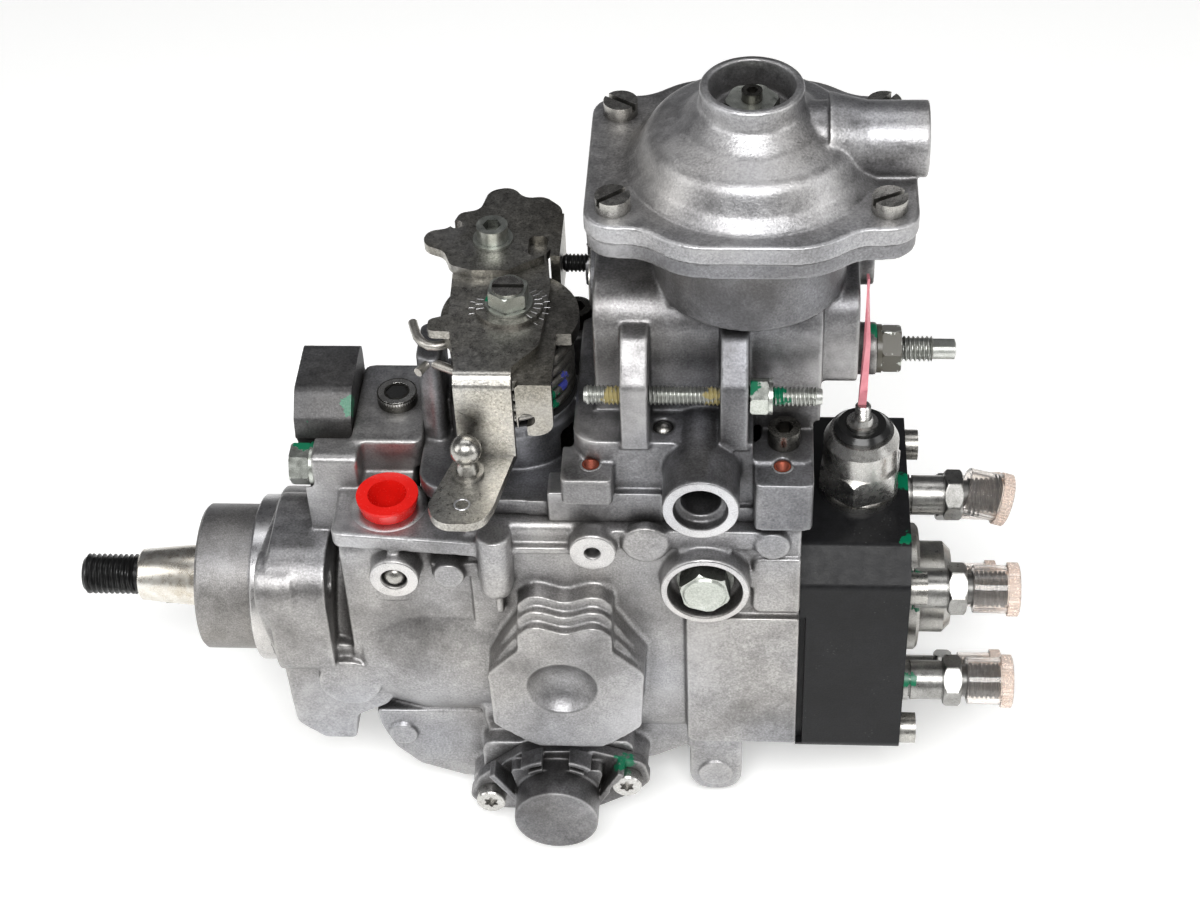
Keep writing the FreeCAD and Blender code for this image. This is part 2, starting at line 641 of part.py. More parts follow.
def governor_cover():
    cover = cover_solid()
    cuts = [
        plate(rectangle((UPPER_X0 + 54, UPPER_X1), (-UPPER_Y, UPPER_Y)), 5, "z", PART_Z - 1, DECK_Z - WALL),
        plate(rectangle((UPPER_X0 + 20, UPPER_X0 + 60), (-14, 14)), 5, "z", PART_Z - 1, 82),
        rod((LEVER_X, 0, 60), (LEVER_X, 0, LEVER_Z - 7), LEVER_R + RUN),
        rod((BOOST_X, 0, DECK_Z - 10), (BOOST_X, 0, BOOST_SEAM), PIN_R + RUN),
        rod((BOOST_X, 0, BOOST_SEAM - 30), (BOOST_X, 0, BOOST_SEAM), 20),
        rod((BOOST_X, 0, BOOST_SEAM - 6), (BOOST_X, 0, BOOST_SEAM + 1), CHAMBER_R),
        rod((BOOST_X, 0, BOOST_SEAM - 0.8), (BOOST_X, 0, BOOST_SEAM + 1), RIM_R),
        rod((PORT_X, PORT_FACE - 1, PORT_Z), (PORT_X, PORT_FACE + 4, PORT_Z), 8.3),
        rod((PORT_X, PORT_FACE - 1, PORT_Z), (PORT_X, -UPPER_Y + 1, PORT_Z), 6.0),
        rod((116.5, MAX_Y, MAX_Z), (190, MAX_Y, MAX_Z), STOP_R),
        rod((100, IDLE_Y, IDLE_Z), (BOX_X0 + 16, IDLE_Y, IDLE_Z), STOP_R),
        rod((174, FULL_Y, FULL_Z), (210, FULL_Y, FULL_Z), FULL_R),
        rod((BOX_X0 - 3, DISC_Y, DISC_Z), (BOX_X0 + 2, DISC_Y, DISC_Z), 8.7),
        rod((140, -27, DECK_Z - 5.9), (140, -27, DECK_Z + 1), 3.2),
        rod((176.5, -36, LUG_TOP - 12), (176.5, -36, LUG_TOP + 1), 2.6),
        rod((118, -36, 80), (118, -36, LUG_TOP + 1), 2.6),
        block((167.5, 190), (-40, -20.2), (90, DECK_Z + 1)),
    ]
    for x, y, seat in cover_screw_places():
        cuts.append(rod((x, y, PART_Z - 1), (x, y, seat + 0.01), COVER_SCREW_R))
        cuts.append(rod((x, y, seat), (x, y, seat + 30), 6.0))
    for x, y in boost_screw_places():
        cuts.append(rod((x, y, BOOST_SEAM - 10), (x, y, BOOST_SEAM + 1), 3.0))
    return remove(cover, *cuts)


def cover_screws():
    screws = []
    for x, y, seat in cover_screw_places():
        screws.append(socket_screw((x, y, PART_Z - 15), seat, COVER_SCREW_R, 5.0, 6.0))
    screws.append(socket_screw((52, 8, PLATEAU_Z - 8), PLATEAU_Z, 4.0, 6.5, 4.0))
    return group(screws)


def press_plugs():
    return group([ball((54.5, -42.5, 47), 4.0),
                  ball((140, -27, DECK_Z - 2.6), 3.2),
                  rod((BOX_X0 - 2.5, DISC_Y, DISC_Z), (BOX_X0 + 2, DISC_Y, DISC_Z), 8.7)])


def side_plug_bolt():
    seat = RECESS_SEAT
    z = RECESS_Z
    body = rod((153, seat - 1.5, z), (153, -34.5, z), 5.0)
    washer = rod((153, seat - 1.5, z), (153, seat, z), 9.0)
    head = nut_body((153, seat - 1.5, z), (153, seat - 8, z), 14.6, 12)
    cap = taper((153, seat - 8, z), (153, seat - 8.6, z), 7.0, 6.4)
    return join(body, washer, head, cap)


def inlet_plug():
    x, y = INLET_X, INLET_Y
    skirt = rod((x, y, PLATFORM_Z - 9), (x, y, PLATFORM_Z), INLET_R)
    rim = taper((x, y, PLATFORM_Z), (x, y, PLATFORM_Z + 4), 9.0, 9.9)
    lip = rod((x, y, PLATFORM_Z + 4), (x, y, PLATFORM_Z + 5), 9.9)
    plug = join(skirt, rim, lip)
    return plug.cut(taper((x, y, PLATFORM_Z - 8), (x, y, PLATFORM_Z + 5.01), 4.8, 6.2))


def advance_block():
    """Dark block across the top of the drive end, hollowed out beside its bolt."""
    points = [(-8, PLATFORM_Z), (26, PLATFORM_Z), (26, 85), (2, 85), (-5, 78)]
    body = plate(points, [2, 3, 4, 4, 3], "x", 20.0, 38.6)
    y, z = BLOCK_BOLT_Y, BLOCK_BOLT_Z
    return body.cut(rod((19, y, z), (28, y, z), 8.3)).cut(rod((27, y, z), (39, y, z), 8.3))


def block_bolt():
    y, z = BLOCK_BOLT_Y, BLOCK_BOLT_Z
    shank = rod((25.0, y, z), (37.0, y, z), BLOCK_BOLT_R)
    washer = rod((25.6, y, z), (27.0, y, z), 7.2)
    head = nut_body((19.0, y, z), (25.6, y, z), 12.0, 30)
    return join(shank, washer, head)


def distributor_head():
    section = [(-HEAD_HALF, -HEAD_HALF), (HEAD_HALF, -HEAD_HALF), (HEAD_HALF, HEAD_HALF),
               (HEAD_HALF - 10, HEAD_TOP),
               (-HEAD_HALF + 10, HEAD_TOP), (-HEAD_HALF, HEAD_HALF)]
    body = plate(section, [5, 5, 3, 3, 3, 3], "x", HEAD_X, HEAD_X + HEAD_L)
    nose = rod((BARREL_X0, 0, 0), (HEAD_X + 1, 0, 0), HEAD_NOSE_R)
    spigot = rod((HEAD_X - 6, 0, 0), (HEAD_X + 1, 0, 0), CAVITY_R - RUN)
    head = join(body, nose, spigot)
    end = HEAD_X + HEAD_L
    cuts = [
        rod((BARREL_X0 - 1, 0, 0), (end + 1, 0, 0), PLUNGER_R + RUN),
        rod((end - 8, 0, 0), (end + 1, 0, 0), 11.0),
        rod((SOL_X, SOL_Y, HEAD_TOP - 22), (SOL_X, SOL_Y, HEAD_TOP + 1), 8.0),
        block((HEAD_X - 1, HEAD_X + 2.2), (-HEAD_HALF - 1, -HEAD_HALF + 3), (-36, 26)),
    ]
    for y, z in outlet_places():
        cuts.append(rod((end - 12, y, z), (end + 1, y, z), HOLDER_FOOT_R))
    for y, z in head_bolt_places():
        cuts.append(rod((HEAD_X - 1, y, z), (end + 1, y, z), HEAD_BOLT_R))
    return remove(head, *cuts)


def head_bolts():
    end = HEAD_X + HEAD_L
    bolts = []
    for y, z in head_bolt_places():
        head = rod((end, y, z), (end + 5.5, y, z), 5.2)
        socket = hexagon((end + 2, y, z), (end + 6, y, z), 5)
        bolts.append(rod((HEAD_X - 13, y, z), (end, y, z), HEAD_BOLT_R).fuse(head).cut(socket))
    return group(bolts)


def head_plug():
    end = HEAD_X + HEAD_L
    ring = tube((end, 0, 0), (end + 4.5, 0, 0), 21.5, 11.0)
    lip = taper((end + 4.5, 0, 0), (end + 5.5, 0, 0), 21.5, 20.5).cut(rod((end, 0, 0), (end + 6, 0, 0), 11.0))
    thread = rod((end - 7.5, 0, 0), (end + 5.5, 0, 0), 11.0)
    body = rod((end + 5.5, 0, 0), (end + 14, 0, 0), 15.5)
    chamfer = taper((end + 14, 0, 0), (end + 16.5, 0, 0), 15.5, 13.0)
    socket = hexagon((end + 10, 0, 0), (end + 17, 0, 0), 10)
    return group([ring.fuse(lip).removeSplitter(), join(thread, body, chamfer).cut(socket)])


def delivery_valve_holders():
    end = HEAD_X + HEAD_L
    tip = end + HOLDER_L
    thread_start = tip - OUTLET_THREAD_L
    throat_start = thread_start - THROAT_L
    hex_start = throat_start - HOLDER_HEX_L
    holders = []
    for y, z in outlet_places():
        foot_part = rod((end - 11.5, y, z), (end, y, z), HOLDER_FOOT_R)
        ring = rod((end, y, z), (end + 1.6, y, z), HOLDER_R + 0.1)
        neck = rod((end + 1.6, y, z), (hex_start, y, z), HOLDER_R - 0.1)
        nut = nut_body((hex_start, y, z), (throat_start, y, z), HOLDER_HEX, 10)
        throat = rod((throat_start, y, z), (thread_start, y, z), OUTLET_THREAD_R - 1)
        thread = rod((thread_start, y, z), (tip - 1, y, z), OUTLET_THREAD_R)
        nose = taper((tip - 1, y, z), (tip, y, z), OUTLET_THREAD_R, OUTLET_THREAD_R - 0.8)
        seat_cone = taper((tip - 5, y, z), (tip + 0.01, y, z), 1.2, 3.9)
        bore = rod((end - 12, y, z), (throat_start, y, z), VALVE_R + RUN)
        channel = rod((end, y, z), (tip, y, z), 1.2)
        holders.append(remove(join(foot_part, ring, neck, nut, throat, thread, nose), seat_cone, bore,
                              channel))
    return group(holders)


def delivery_valves():
    end = HEAD_X + HEAD_L
    valves = []
    for y, z in outlet_places():
        head = taper((end - 11.4, y, z), (end - 9.4, y, z), 1.5, VALVE_R)
        body = rod((end - 9.4, y, z), (end - 3, y, z), VALVE_R)
        stem = rod((end - 3, y, z), (end + 4, y, z), 1.2)
        valves.append(join(head, body, stem))
    return group(valves)


def protective_caps():
    tip = HEAD_X + HEAD_L + HOLDER_L
    top = tip + CAP_RIM_L
    caps = []
    for y, z in outlet_places():
        start = tip - OUTLET_THREAD_L
        shell = tube((start, y, z), (top, y, z), CAP_R, OUTLET_THREAD_R)
        rim = tube((tip, y, z), (top, y, z), CAP_RIM_R, OUTLET_THREAD_R)
        end_wall = rod((top - 1, y, z), (top, y, z), CAP_R - 0.9)
        caps.append(join(shell, rim, end_wall))
    return group(caps)


def solenoid_body():
    base = HEAD_TOP
    x, y = SOL_X, SOL_Y
    thread = rod((x, y, base - 16), (x, y, base), 8.0)
    ring = rod((x, y, base), (x, y, base + 2), 12.6)
    neck = rod((x, y, base + 2), (x, y, base + 3.2), 11.4)
    nut = nut_body((x, y, base + 3.2), (x, y, base + 13), SOL_HEX, 20)
    shell = rod((x, y, base + 13), (x, y, base + 22), SOL_SHELL_R)
    crimp = taper((x, y, base + 22), (x, y, base + 25.5), SOL_SHELL_R, 10.2)
    body = join(thread, ring, neck, nut, shell, crimp)
    return remove(body, rod((x, y, base - 17), (x, y, base + 6), 4.0),
                  rod((x, y, base + 17), (x, y, base + 26), 9.0))


def solenoid_insulator():
    base = HEAD_TOP
    x, y = SOL_X, SOL_Y
    disc = rod((x, y, base + 17), (x, y, base + 26.5), 9.0)
    dome = taper((x, y, base + 26.5), (x, y, base + 28), 9.0, 7.6)
    return join(disc, dome).cut(rod((x, y, base + 19), (x, y, base + 29), 2.5))


def solenoid_terminal():
    base = HEAD_TOP
    x, y = SOL_X, SOL_Y
    stud = rod((x, y, base + 19), (x, y, base + 36), 2.5)
    washer = rod((x, y, base + 28), (x, y, base + 29), 5.0)
    collar = taper((x, y, base + 29), (x, y, base + 31.5), 3.6, 2.5)
    return join(stud, washer, collar)


def terminal_tail():
    """Thin plastic strip that stands on the terminal and leans a little."""
    x, y, z = SOL_X - 0.4, SOL_Y, HEAD_TOP + 36
    corners = [(-1.3, -0.4), (1.3, -0.4), (1.3, 0.4), (-1.3, 0.4), (-1.3, -0.4)]
    low = Part.makePolygon([Vec(x + u, y + v, z) for u, v in corners])
    wires = [low]
    for height, turn, lean_x, lean_y in ((9, 20, -0.1, -3.6), (28, 50, 0.2, -4.6), (56, 95, -0.6, -6.0)):
        step = low.copy()
        step.rotate(Vec(x, y, z), Vec(0, 0, 1), turn)
        step.translate(Vec(lean_x, lean_y, height))
        wires.append(step)
    return Part.makeLoft(wires, True, True)


def solenoid_plunger():
    base = HEAD_TOP
    x, y = SOL_X, SOL_Y
    body = rod((x, y, base - 18), (x, y, base + 1), 4.0 - RUN)
    return join(body, taper((x, y, base - 20.5), (x, y, base - 18), 1.5, 4.0 - RUN))


def timing_cover_near():
    outer = TIMING_NEAR - 4.5
    tx = TIMING_X
    tz = TIMING_Z
    (ax, az), (bx, bz) = timing_screw_places()
    diamond = [(ax - 8, az - 2), (ax - 3, az - 8), (tx - 9, tz - 14), (tx + 9, tz - 14), (bx + 3, bz - 8),
               (bx + 8, bz - 2),
               (bx + 6, bz + 7), (tx + 12, tz + 18), (tx - 12, tz + 17), (ax - 4, az + 8)]
    flange_part = plate(diamond, [4, 5, 4, 4, 5, 4, 4, 4, 4, 5], "y", outer, TIMING_NEAR)
    face = outer - TIMING_CUP_L
    cup = rod((tx, face, tz), (tx, TIMING_NEAR, tz), TIMING_CUP_R)
    band = plate([(tx - 13, tz), (tx + 13, tz), (tx + 16, tz + 14), (tx - 16, tz + 14)], 2, "y", outer - 5,
                 outer)
    arcs = tube((tx, outer - 7, tz), (tx, outer, tz), 20.6, 18.8).fuse(tube((tx, outer - 7, tz),
        (tx, outer, tz), 17.2, 15.6))
    sector = plate([(tx, tz + 4), (tx + 19, tz + 24), (tx - 19, tz + 24)], 0, "y", outer - 8, outer)
    middle = plate(rectangle((tx - 4.5, tx + 4.5), (tz, tz + 25)), 0, "y", outer - 9, outer)
    arcs = arcs.common(sector).cut(middle)
    ribs = [plate([(tx - 23, tz + 12), (tx - 21, tz + 13), (tx - 12, tz - 1), (tx - 14, tz - 2)], 0, "y",
                  outer - 7, outer),
            plate([(tx + 21, tz + 15), (tx + 23, tz + 14), (tx + 14, tz - 2), (tx + 12, tz - 1)], 0, "y", outer - 7, outer)]
    spigot = rod((tx, TIMING_NEAR, tz), (tx, TIMING_NEAR + 4, tz), TIMING_R)
    shape = join(flange_part, cup, band, arcs, spigot, *ribs)
    for x, z in ((ax, az), (bx, bz)):
        shape = shape.cut(rod((x, outer - 6, z), (x, TIMING_NEAR, z), 2.5))
        shape = shape.cut(rod((x, outer - 8, z), (x, outer, z), 5.6))
    return shape.cut(rod((tx, face + TIMING_CUP_FLOOR, tz), (tx, TIMING_NEAR + 5, tz), 9.0))


def timing_cover_far():
    outer = TIMING_FAR + 5
    ends = [(TIMING_X - SCREW_SPAN - 8, TIMING_Z), (TIMING_X - 12, TIMING_Z - 18),
            (TIMING_X + 12, TIMING_Z - 18),
            (TIMING_X + SCREW_SPAN + 8, TIMING_Z), (TIMING_X + 12, TIMING_Z + 18), (TIMING_X - 12, TIMING_Z + 18)]
    shape = join(plate(ends, 6, "y", TIMING_FAR, outer), rod((TIMING_X, outer, TIMING_Z),
        (TIMING_X, outer + 3, TIMING_Z), 12),
                 rod((TIMING_X, TIMING_FAR - 3, TIMING_Z), (TIMING_X, TIMING_FAR, TIMING_Z), TIMING_R))
    for side in (-1, 1):
        x = TIMING_X + side * SCREW_SPAN
        shape = shape.cut(rod((x, TIMING_FAR, TIMING_Z), (x, outer + 1, TIMING_Z), 2.5))
    return shape


def timing_cover_screws():
    screws = []
    outer = TIMING_NEAR - 4.5
    for x, z in timing_screw_places():
        screw = rod((x, TIMING_NEAR + 11, z), (x, outer, z), 2.5).fuse(rod((x, outer - 4.2, z),
            (x, outer, z), 5.0))
        screws.append(screw.cut(hexagon((x, outer - 5, z), (x, outer - 2, z), 5)))
    outer = TIMING_FAR + 5
    for side in (-1, 1):
        x = TIMING_X + side * SCREW_SPAN
        screw = rod((x, TIMING_FAR - 11, TIMING_Z), (x, outer, TIMING_Z), 2.5)
        screw = screw.fuse(rod((x, outer, TIMING_Z), (x, outer + 4.2, TIMING_Z), 5.0))
        screws.append(screw.cut(hexagon((x, outer + 2, TIMING_Z), (x, outer + 5, TIMING_Z), 5)))
    return group(screws)


def timing_piston():
    body = rod((TIMING_X, -26, TIMING_Z), (TIMING_X, TIMING_FAR - 3.2, TIMING_Z), TIMING_R - RUN)
    spring_room = rod((TIMING_X, -27, TIMING_Z), (TIMING_X, -12, TIMING_Z), 9.5)
    pin_hole = rod((TIMING_X, 0, TIMING_Z - 6), (TIMING_X, 0, TIMING_Z + TIMING_R + 1), 6.2)
    return remove(body, spring_room, pin_hole)


def timing_spring():
    start = TIMING_NEAR - 4.5 - TIMING_CUP_L + TIMING_CUP_FLOOR + 0.2
    spring = coil(7.4, 1.2, -12 - 0.2 - start, 6)
    spring = turned(spring, -90, (1, 0, 0))
    return moved(spring, TIMING_X, start, TIMING_Z)


def boost_cover():
    top = BOOST_SEAM + 6
    shell = boost_plate(BOOST_SEAM, top)
    dome_profile = [(0, BOOST_SEAM), (37, BOOST_SEAM), (37, top), (33.5, top + 3.5), (29.5, top + 11.5),
                    (20.5, top + 14.5),
                    (BOOST_TUBE_R, top + 19.5), (BOOST_TUBE_R, BOOST_TOP), (0, BOOST_TOP)]
    place = lambda p: Vec(BOOST_X + p.x, 0, p.y)
    wire = outline(dome_profile, [0, 0, 0, 4, 7, 7, 3, 1, 0], place)
    dome = Part.Face(wire).revolve(Vec(BOOST_X, 0, 0), Vec(0, 0, 1), 360)
    axis_z = BOOST_SEAM + 13.5
    port = join(rod((BOOST_X + 10, 0, axis_z), (BOOST_X + 50.5, 0, axis_z), 11),
                taper((BOOST_X + 22, 0, axis_z), (BOOST_X + 33, 0, axis_z), 13.5, 11))
    root = block((BOOST_X + 20, BOOST_X + 45), (-9, 9), (BOOST_SEAM + 4, axis_z))
    shape = join(shell, dome, port, root)
    chamber_profile = [(0, BOOST_SEAM - 1), (CHAMBER_R, BOOST_SEAM - 1), (CHAMBER_R, BOOST_SEAM + 2.5),
                       (24, top + 6),
                       (BOOST_BORE_R, top + 10), (0, top + 10)]
    wire = outline(chamber_profile, [0, 0, 3, 5, 2, 0], place)
    chamber = Part.Face(wire).revolve(Vec(BOOST_X, 0, 0), Vec(0, 0, 1), 360)
    shape = remove(shape, chamber, rod((BOOST_X, 0, BOOST_NUT_Z), (BOOST_X, 0, BOOST_TOP + 1), BOOST_BORE_R),
                   rod((BOOST_X, 0, top), (BOOST_X, 0, BOOST_TOP), 3.0),
                   rod((BOOST_X + 18, 0, axis_z), (BOOST_X + 51, 0, axis_z), 6.0))
    for x, y in boost_screw_places():
        shape = shape.cut(rod((x, y, BOOST_SEAM - 1), (x, y, top + 0.01), 3.0))
        shape = shape.cut(rod((x, y, top), (x, y, top + 12), 6.4))
    return shape


def boost_cover_screws():
    seat = BOOST_SEAM + 6
    turns = (38, -35, 28, 55)
    screws = []
    for (x, y), slot_turn in zip(boost_screw_places(), turns):
        screws.append(slotted_screw((x, y, BOOST_SEAM - BOOST_FLANGE_T), seat, 3.0, 5.1, 4.5, slot_turn))
    return group(screws)


def boost_stop_screw():
    low = BOOST_SEAM + 6 + 6
    high = BOOST_NUT_Z + 8
    screw = rod((BOOST_X, 0, low), (BOOST_X, 0, high), 3.0)
    return screw.cut(hexagon((BOOST_X, 0, high - 2), (BOOST_X, 0, high + 1), 3))


def boost_diaphragm():
    """Rubber disc with one round fold; its centre lies on the plates of the pin."""
    seam = BOOST_SEAM
    profile = [(9, seam - 1.2), (26, seam - 1.2), (29.5, seam - 3.4), (32.5, seam - 0.8), (RIM_R, seam - 0.8),
               (RIM_R, seam), (32, seam), (29.5, seam - 2.2), (26, seam), (9, seam)]
    wire = outline(profile, 0, lambda p: Vec(BOOST_X + p.x, 0, p.y))
    return Part.Face(wire).revolve(Vec(BOOST_X, 0, 0), Vec(0, 0, 1), 360)


def boost_pin():
    low = BOOST_SEAM - 1.3
    stem = rod((BOOST_X, 0, DECK_Z - 4), (BOOST_X, 0, low - 3), PIN_R)
    under = rod((BOOST_X, 0, low - 3), (BOOST_X, 0, low), 18)
    hub = rod((BOOST_X, 0, low), (BOOST_X, 0, BOOST_SEAM + 0.1), 8.8)
    upper = rod((BOOST_X, 0, BOOST_SEAM + 0.1), (BOOST_X, 0, BOOST_SEAM + 2), 18)
    nut = nut_body((BOOST_X, 0, BOOST_SEAM + 2), (BOOST_X, 0, BOOST_SEAM + 6), 10)
    waist = tube((BOOST_X, 0, 112), (BOOST_X, 0, 124), PIN_R + 1, PIN_R - 1.4)
    return join(stem, under, hub, upper, nut).cut(waist)


def boost_spring():
    low = BOOST_SEAM - 30
    high = BOOST_SEAM - 1.3 - 3
    return moved(coil(12, 1.4, high - low - 0.4, 4), BOOST_X, 0, low + 0.2)


def locknuts():
    x = 165.5 + 1.0
    near = nut_body((x, MAX_Y, MAX_Z), (x + 5.5, MAX_Y, MAX_Z), 10.0, 0)
    near = join(near, rod((x + 5.5, MAX_Y, MAX_Z), (x + 6.7, MAX_Y, MAX_Z), 5.6))
    near = near.cut(rod((x - 1, MAX_Y, MAX_Z), (x + 8, MAX_Y, MAX_Z), STOP_R))
    full = join(rod((205.5, FULL_Y, FULL_Z), (207, FULL_Y, FULL_Z), 7.6), nut_body((207, FULL_Y, FULL_Z),
        (213, FULL_Y, FULL_Z), 13, 8))
    full = full.cut(rod((205, FULL_Y, FULL_Z), (214, FULL_Y, FULL_Z), FULL_R))
    seat = BOOST_NUT_Z
    top = nut_body((BOOST_X, 0, seat), (BOOST_X, 0, seat + 5), 14, 10)
    top = top.cut(rod((BOOST_X, 0, seat - 1), (BOOST_X, 0, seat + 6), 3.0))
    return group([near, full, top])


def full_load_screw():
    body = rod((174, FULL_Y, FULL_Z), (223, FULL_Y, FULL_Z), FULL_R)
    tip = rod((223, FULL_Y, FULL_Z), (230, FULL_Y, FULL_Z), FULL_R - 0.8)
    return join(body, tip).cut(block((227, 231), (FULL_Y - 0.7, FULL_Y + 0.7), (FULL_Z - 4, FULL_Z + 4)))


def idle_stop_screw():
    x0 = 106.4
    return rod((x0 + 1, IDLE_Y, IDLE_Z), (BOX_X0 + 15, IDLE_Y, IDLE_Z), STOP_R).fuse(
        taper((x0, IDLE_Y, IDLE_Z), (x0 + 1, IDLE_Y, IDLE_Z), 2.4, STOP_R)).removeSplitter()


def max_speed_screw():
    return rod((117.5, MAX_Y, MAX_Z), (188, MAX_Y, MAX_Z), STOP_R).fuse(
        taper((116.5, MAX_Y, MAX_Z), (117.5, MAX_Y, MAX_Z), 2.6, STOP_R)).removeSplitter()


def shaft_seal():
    body = tube((-PILOT_L + 1, 0, 0), (-12, 0, 0), SEAL_R, JOURNAL_R + RUN)
    return body.cut(tube((-PILOT_L, 0, 0), (-PILOT_L + 3.5, 0, 0), SEAL_R - 1.8, JOURNAL_R + 1.6))


def shaft_bush():
    return tube((-11.8, 0, 0), (BUSH_END, 0, 0), BUSH_R, JOURNAL_R + RUN)


def drive_shaft():
    undercut = TAPER_START - 2
    pieces = [
        taper((SHAFT_TIP, 0, 0), (SHAFT_TIP + 1.5, 0, 0), THREAD_R - 1.4, THREAD_R),
        rod((SHAFT_TIP + 1.5, 0, 0), (undercut, 0, 0), THREAD_R),
        rod((undercut, 0, 0), (TAPER_START, 0, 0), THREAD_R - 0.9),
        taper((TAPER_START, 0, 0), (-PILOT_L, 0, 0), TAPER_R0, TAPER_R1),
        rod((-PILOT_L, 0, 0), (FEED_X0 - 1, 0, 0), JOURNAL_R),
        rod((FEED_X0 - 1, 0, 0), (GEAR_X0 + GEAR_L, 0, 0), STEM_R),
        rod((GEAR_X0 + GEAR_L, 0, 0), (100, 0, 0), SHAFT_FLANGE_R),
        block((100, 110), (-SHAFT_FLANGE_R + 2, SHAFT_FLANGE_R - 2),
              (-TONGUE_W / 2 + RUN, TONGUE_W / 2 - RUN)),
    ]
    return join(*pieces).cut(key_shape())


def key_shape():
    disc = rod((-32, -2, 0), (-32, 2, 0), 6.5)
    lowest = TAPER_R1 + 1.4
    return turned(moved(disc, 0, 0, -8.2).common(block((-40, -24), (-3, 3), (-lowest, 0))), 0)


def shaft_gear():
    return gear(DRIVE_TEETH, GEAR_X0, GEAR_L, 90.0, 0.0).cut(rod((GEAR_X0 - 1, 0, 0),
        (GEAR_X0 + GEAR_L + 1, 0, 0), STEM_R))


def feed_cam_ring():
    ring = tube((FEED_X0, 0, 0), (FEED_X1, 0, 0), CAVITY_R, 5)
    return ring.cut(rod((FEED_X0 - 1, FEED_OFFSET, 0), (FEED_X1 + 1, FEED_OFFSET, 0), FEED_BORE_R))


def feed_rotor():
    """Rotor with its four vanes drawn in to the ring's narrowest place."""
    rotor = tube((FEED_X0 + RUN, 0, 0), (FEED_X1 - RUN, 0, 0), ROTOR_R, STEM_R)
    for angle in around(4):
        slot = block((FEED_X0, FEED_X1), (12, 30), (VANE_T / 2, VANE_T / 2 + 0.4))
        rotor = rotor.cut(turned(slot, angle))
    return rotor


def roller_ring():
    ring = tube((RING_X0, 0, 0), (ROLLER_X, 0, 0), CAVITY_R - RUN, 23)
    for angle in around(CYLINDERS):
        y0, z0 = polar(24.5, angle)
        y1, z1 = polar(CAVITY_R + 1, angle)
        ring = ring.cut(rod((ROLLER_X, y0, z0), (ROLLER_X, y1, z1), ROLLER_R + RUN))
    pin = rod((TIMING_X, 0, -26), (TIMING_X, 0, TIMING_Z - 4), 4.0)
    return join(ring, pin)


def rollers():
    items = []
    for angle in around(CYLINDERS):
        y0, z0 = polar(25.0, angle)
        y1, z1 = polar(32.5, angle)
        items.append(rod((ROLLER_X, y0, z0), (ROLLER_X, y1, z1), ROLLER_R))
    return group(items)


def cam_disc():
    face = CAM_X + CAM_LIFT
    disc = rod((face, 0, 0), (126, 0, 0), 32.0)
    hub = rod((103, 0, 0), (face, 0, 0), SHAFT_FLANGE_R + 1)
    lobes = []
    for angle in around(CYLINDERS):
        y0, z0 = polar(22.0, angle)
        y1, z1 = polar(31.5, angle)
        lobe = rod((CAM_X + LOBE_R, y0, z0), (CAM_X + LOBE_R, y1, z1), LOBE_R)
        lobes.append(lobe.common(rod((CAM_X - 1, 0, 0), (face + 2, 0, 0), 32.0)))
    shape = join(disc, hub, *lobes)
    slot = block((102, 111), (-20, 20), (-TONGUE_W / 2, TONGUE_W / 2))
    return shape.cut(slot)


def plunger():
    return join(rod((126, 0, 0), (129, 0, 0), 9), rod((129, 0, 0), (206, 0, 0), PLUNGER_R))


def plunger_springs():
    springs = []
    for side in (-1, 1):
        spring = turned(coil(6.0, 1.3, 50.2, 5), 90, (0, 1, 0))
        springs.append(moved(spring, 126.4, side * 22.0, 0))
    return group(springs)


def control_spool():
    low = SPOOL_X - SPOOL_W / 2
    spool = tube((low, 0, 0), (low + SPOOL_W, 0, 0), SPOOL_R, PLUNGER_R + RUN)
    return spool.cut(tube((SPOOL_X - 2.2, 0, 0), (SPOOL_X + 2.2, 0, 0), SPOOL_R + 1, SPOOL_R - 3))


def governor_shaft():
    return rod((GEAR_X0 - 12, 0, GOVERNOR_Z), (128, 0, GOVERNOR_Z), GOVERNOR_PIN_R)


def flyweight_carrier():
    half_step = 0.0 if GOVERNOR_TEETH % 2 else 180.0 / GOVERNOR_TEETH
    wheel = gear(GOVERNOR_TEETH, GEAR_X0 + 0.2, GEAR_L, 90.0 + half_step, GOVERNOR_Z)
    back = rod((GEAR_X0 + GEAR_L, 0, GOVERNOR_Z), (GEAR_X0 + GEAR_L + 4, 0, GOVERNOR_Z), 17.5)
    cage = join(wheel, back)
    for angle in around(WEIGHT_COUNT, 45.0):
        wall = moved(turned(block((0, 17), (13.2, 17.3), (-3.0, 3.0)), angle), GEAR_X0 + GEAR_L + 3, 0,
                     GOVERNOR_Z)
        cage = cage.fuse(wall)
    cage = cage.removeSplitter()
    return cage.cut(rod((GEAR_X0 - 1, 0, GOVERNOR_Z), (GEAR_X0 + 40, 0, GOVERNOR_Z), GOVERNOR_PIN_R + RUN))


def flyweights():
    """Weights between the cage walls, each with a toe towards the sleeve."""
    items = []
    start = GEAR_X0 + GEAR_L + 4.3
    for angle in around(WEIGHT_COUNT, 0.0):
        mass = plate(rectangle((start, start + 15), (8.5, 17)), [1, 1, 2, 2], "y", -6.3, 6.3)
        toe = plate(rectangle((start + 12, start + 16.5), (7.4, 11)), 1, "y", -4.5, 4.5)
        items.append(moved(turned(join(mass, toe), angle - 90), 0, 0, GOVERNOR_Z))
    return group(items)


def governor_sleeve():
    end = PIVOT_X - LEVER_T / 2 - GAP
    sleeve = rod((SLEEVE_X0, 0, GOVERNOR_Z), (end - 3, 0, GOVERNOR_Z), SLEEVE_R)
    tip = taper((end - 3, 0, GOVERNOR_Z), (end, 0, GOVERNOR_Z), SLEEVE_R, 1.5)
    return join(sleeve, tip).cut(rod((SLEEVE_X0 - 1, 0, GOVERNOR_Z), (134, 0, GOVERNOR_Z),
                                     GOVERNOR_PIN_R + RUN))


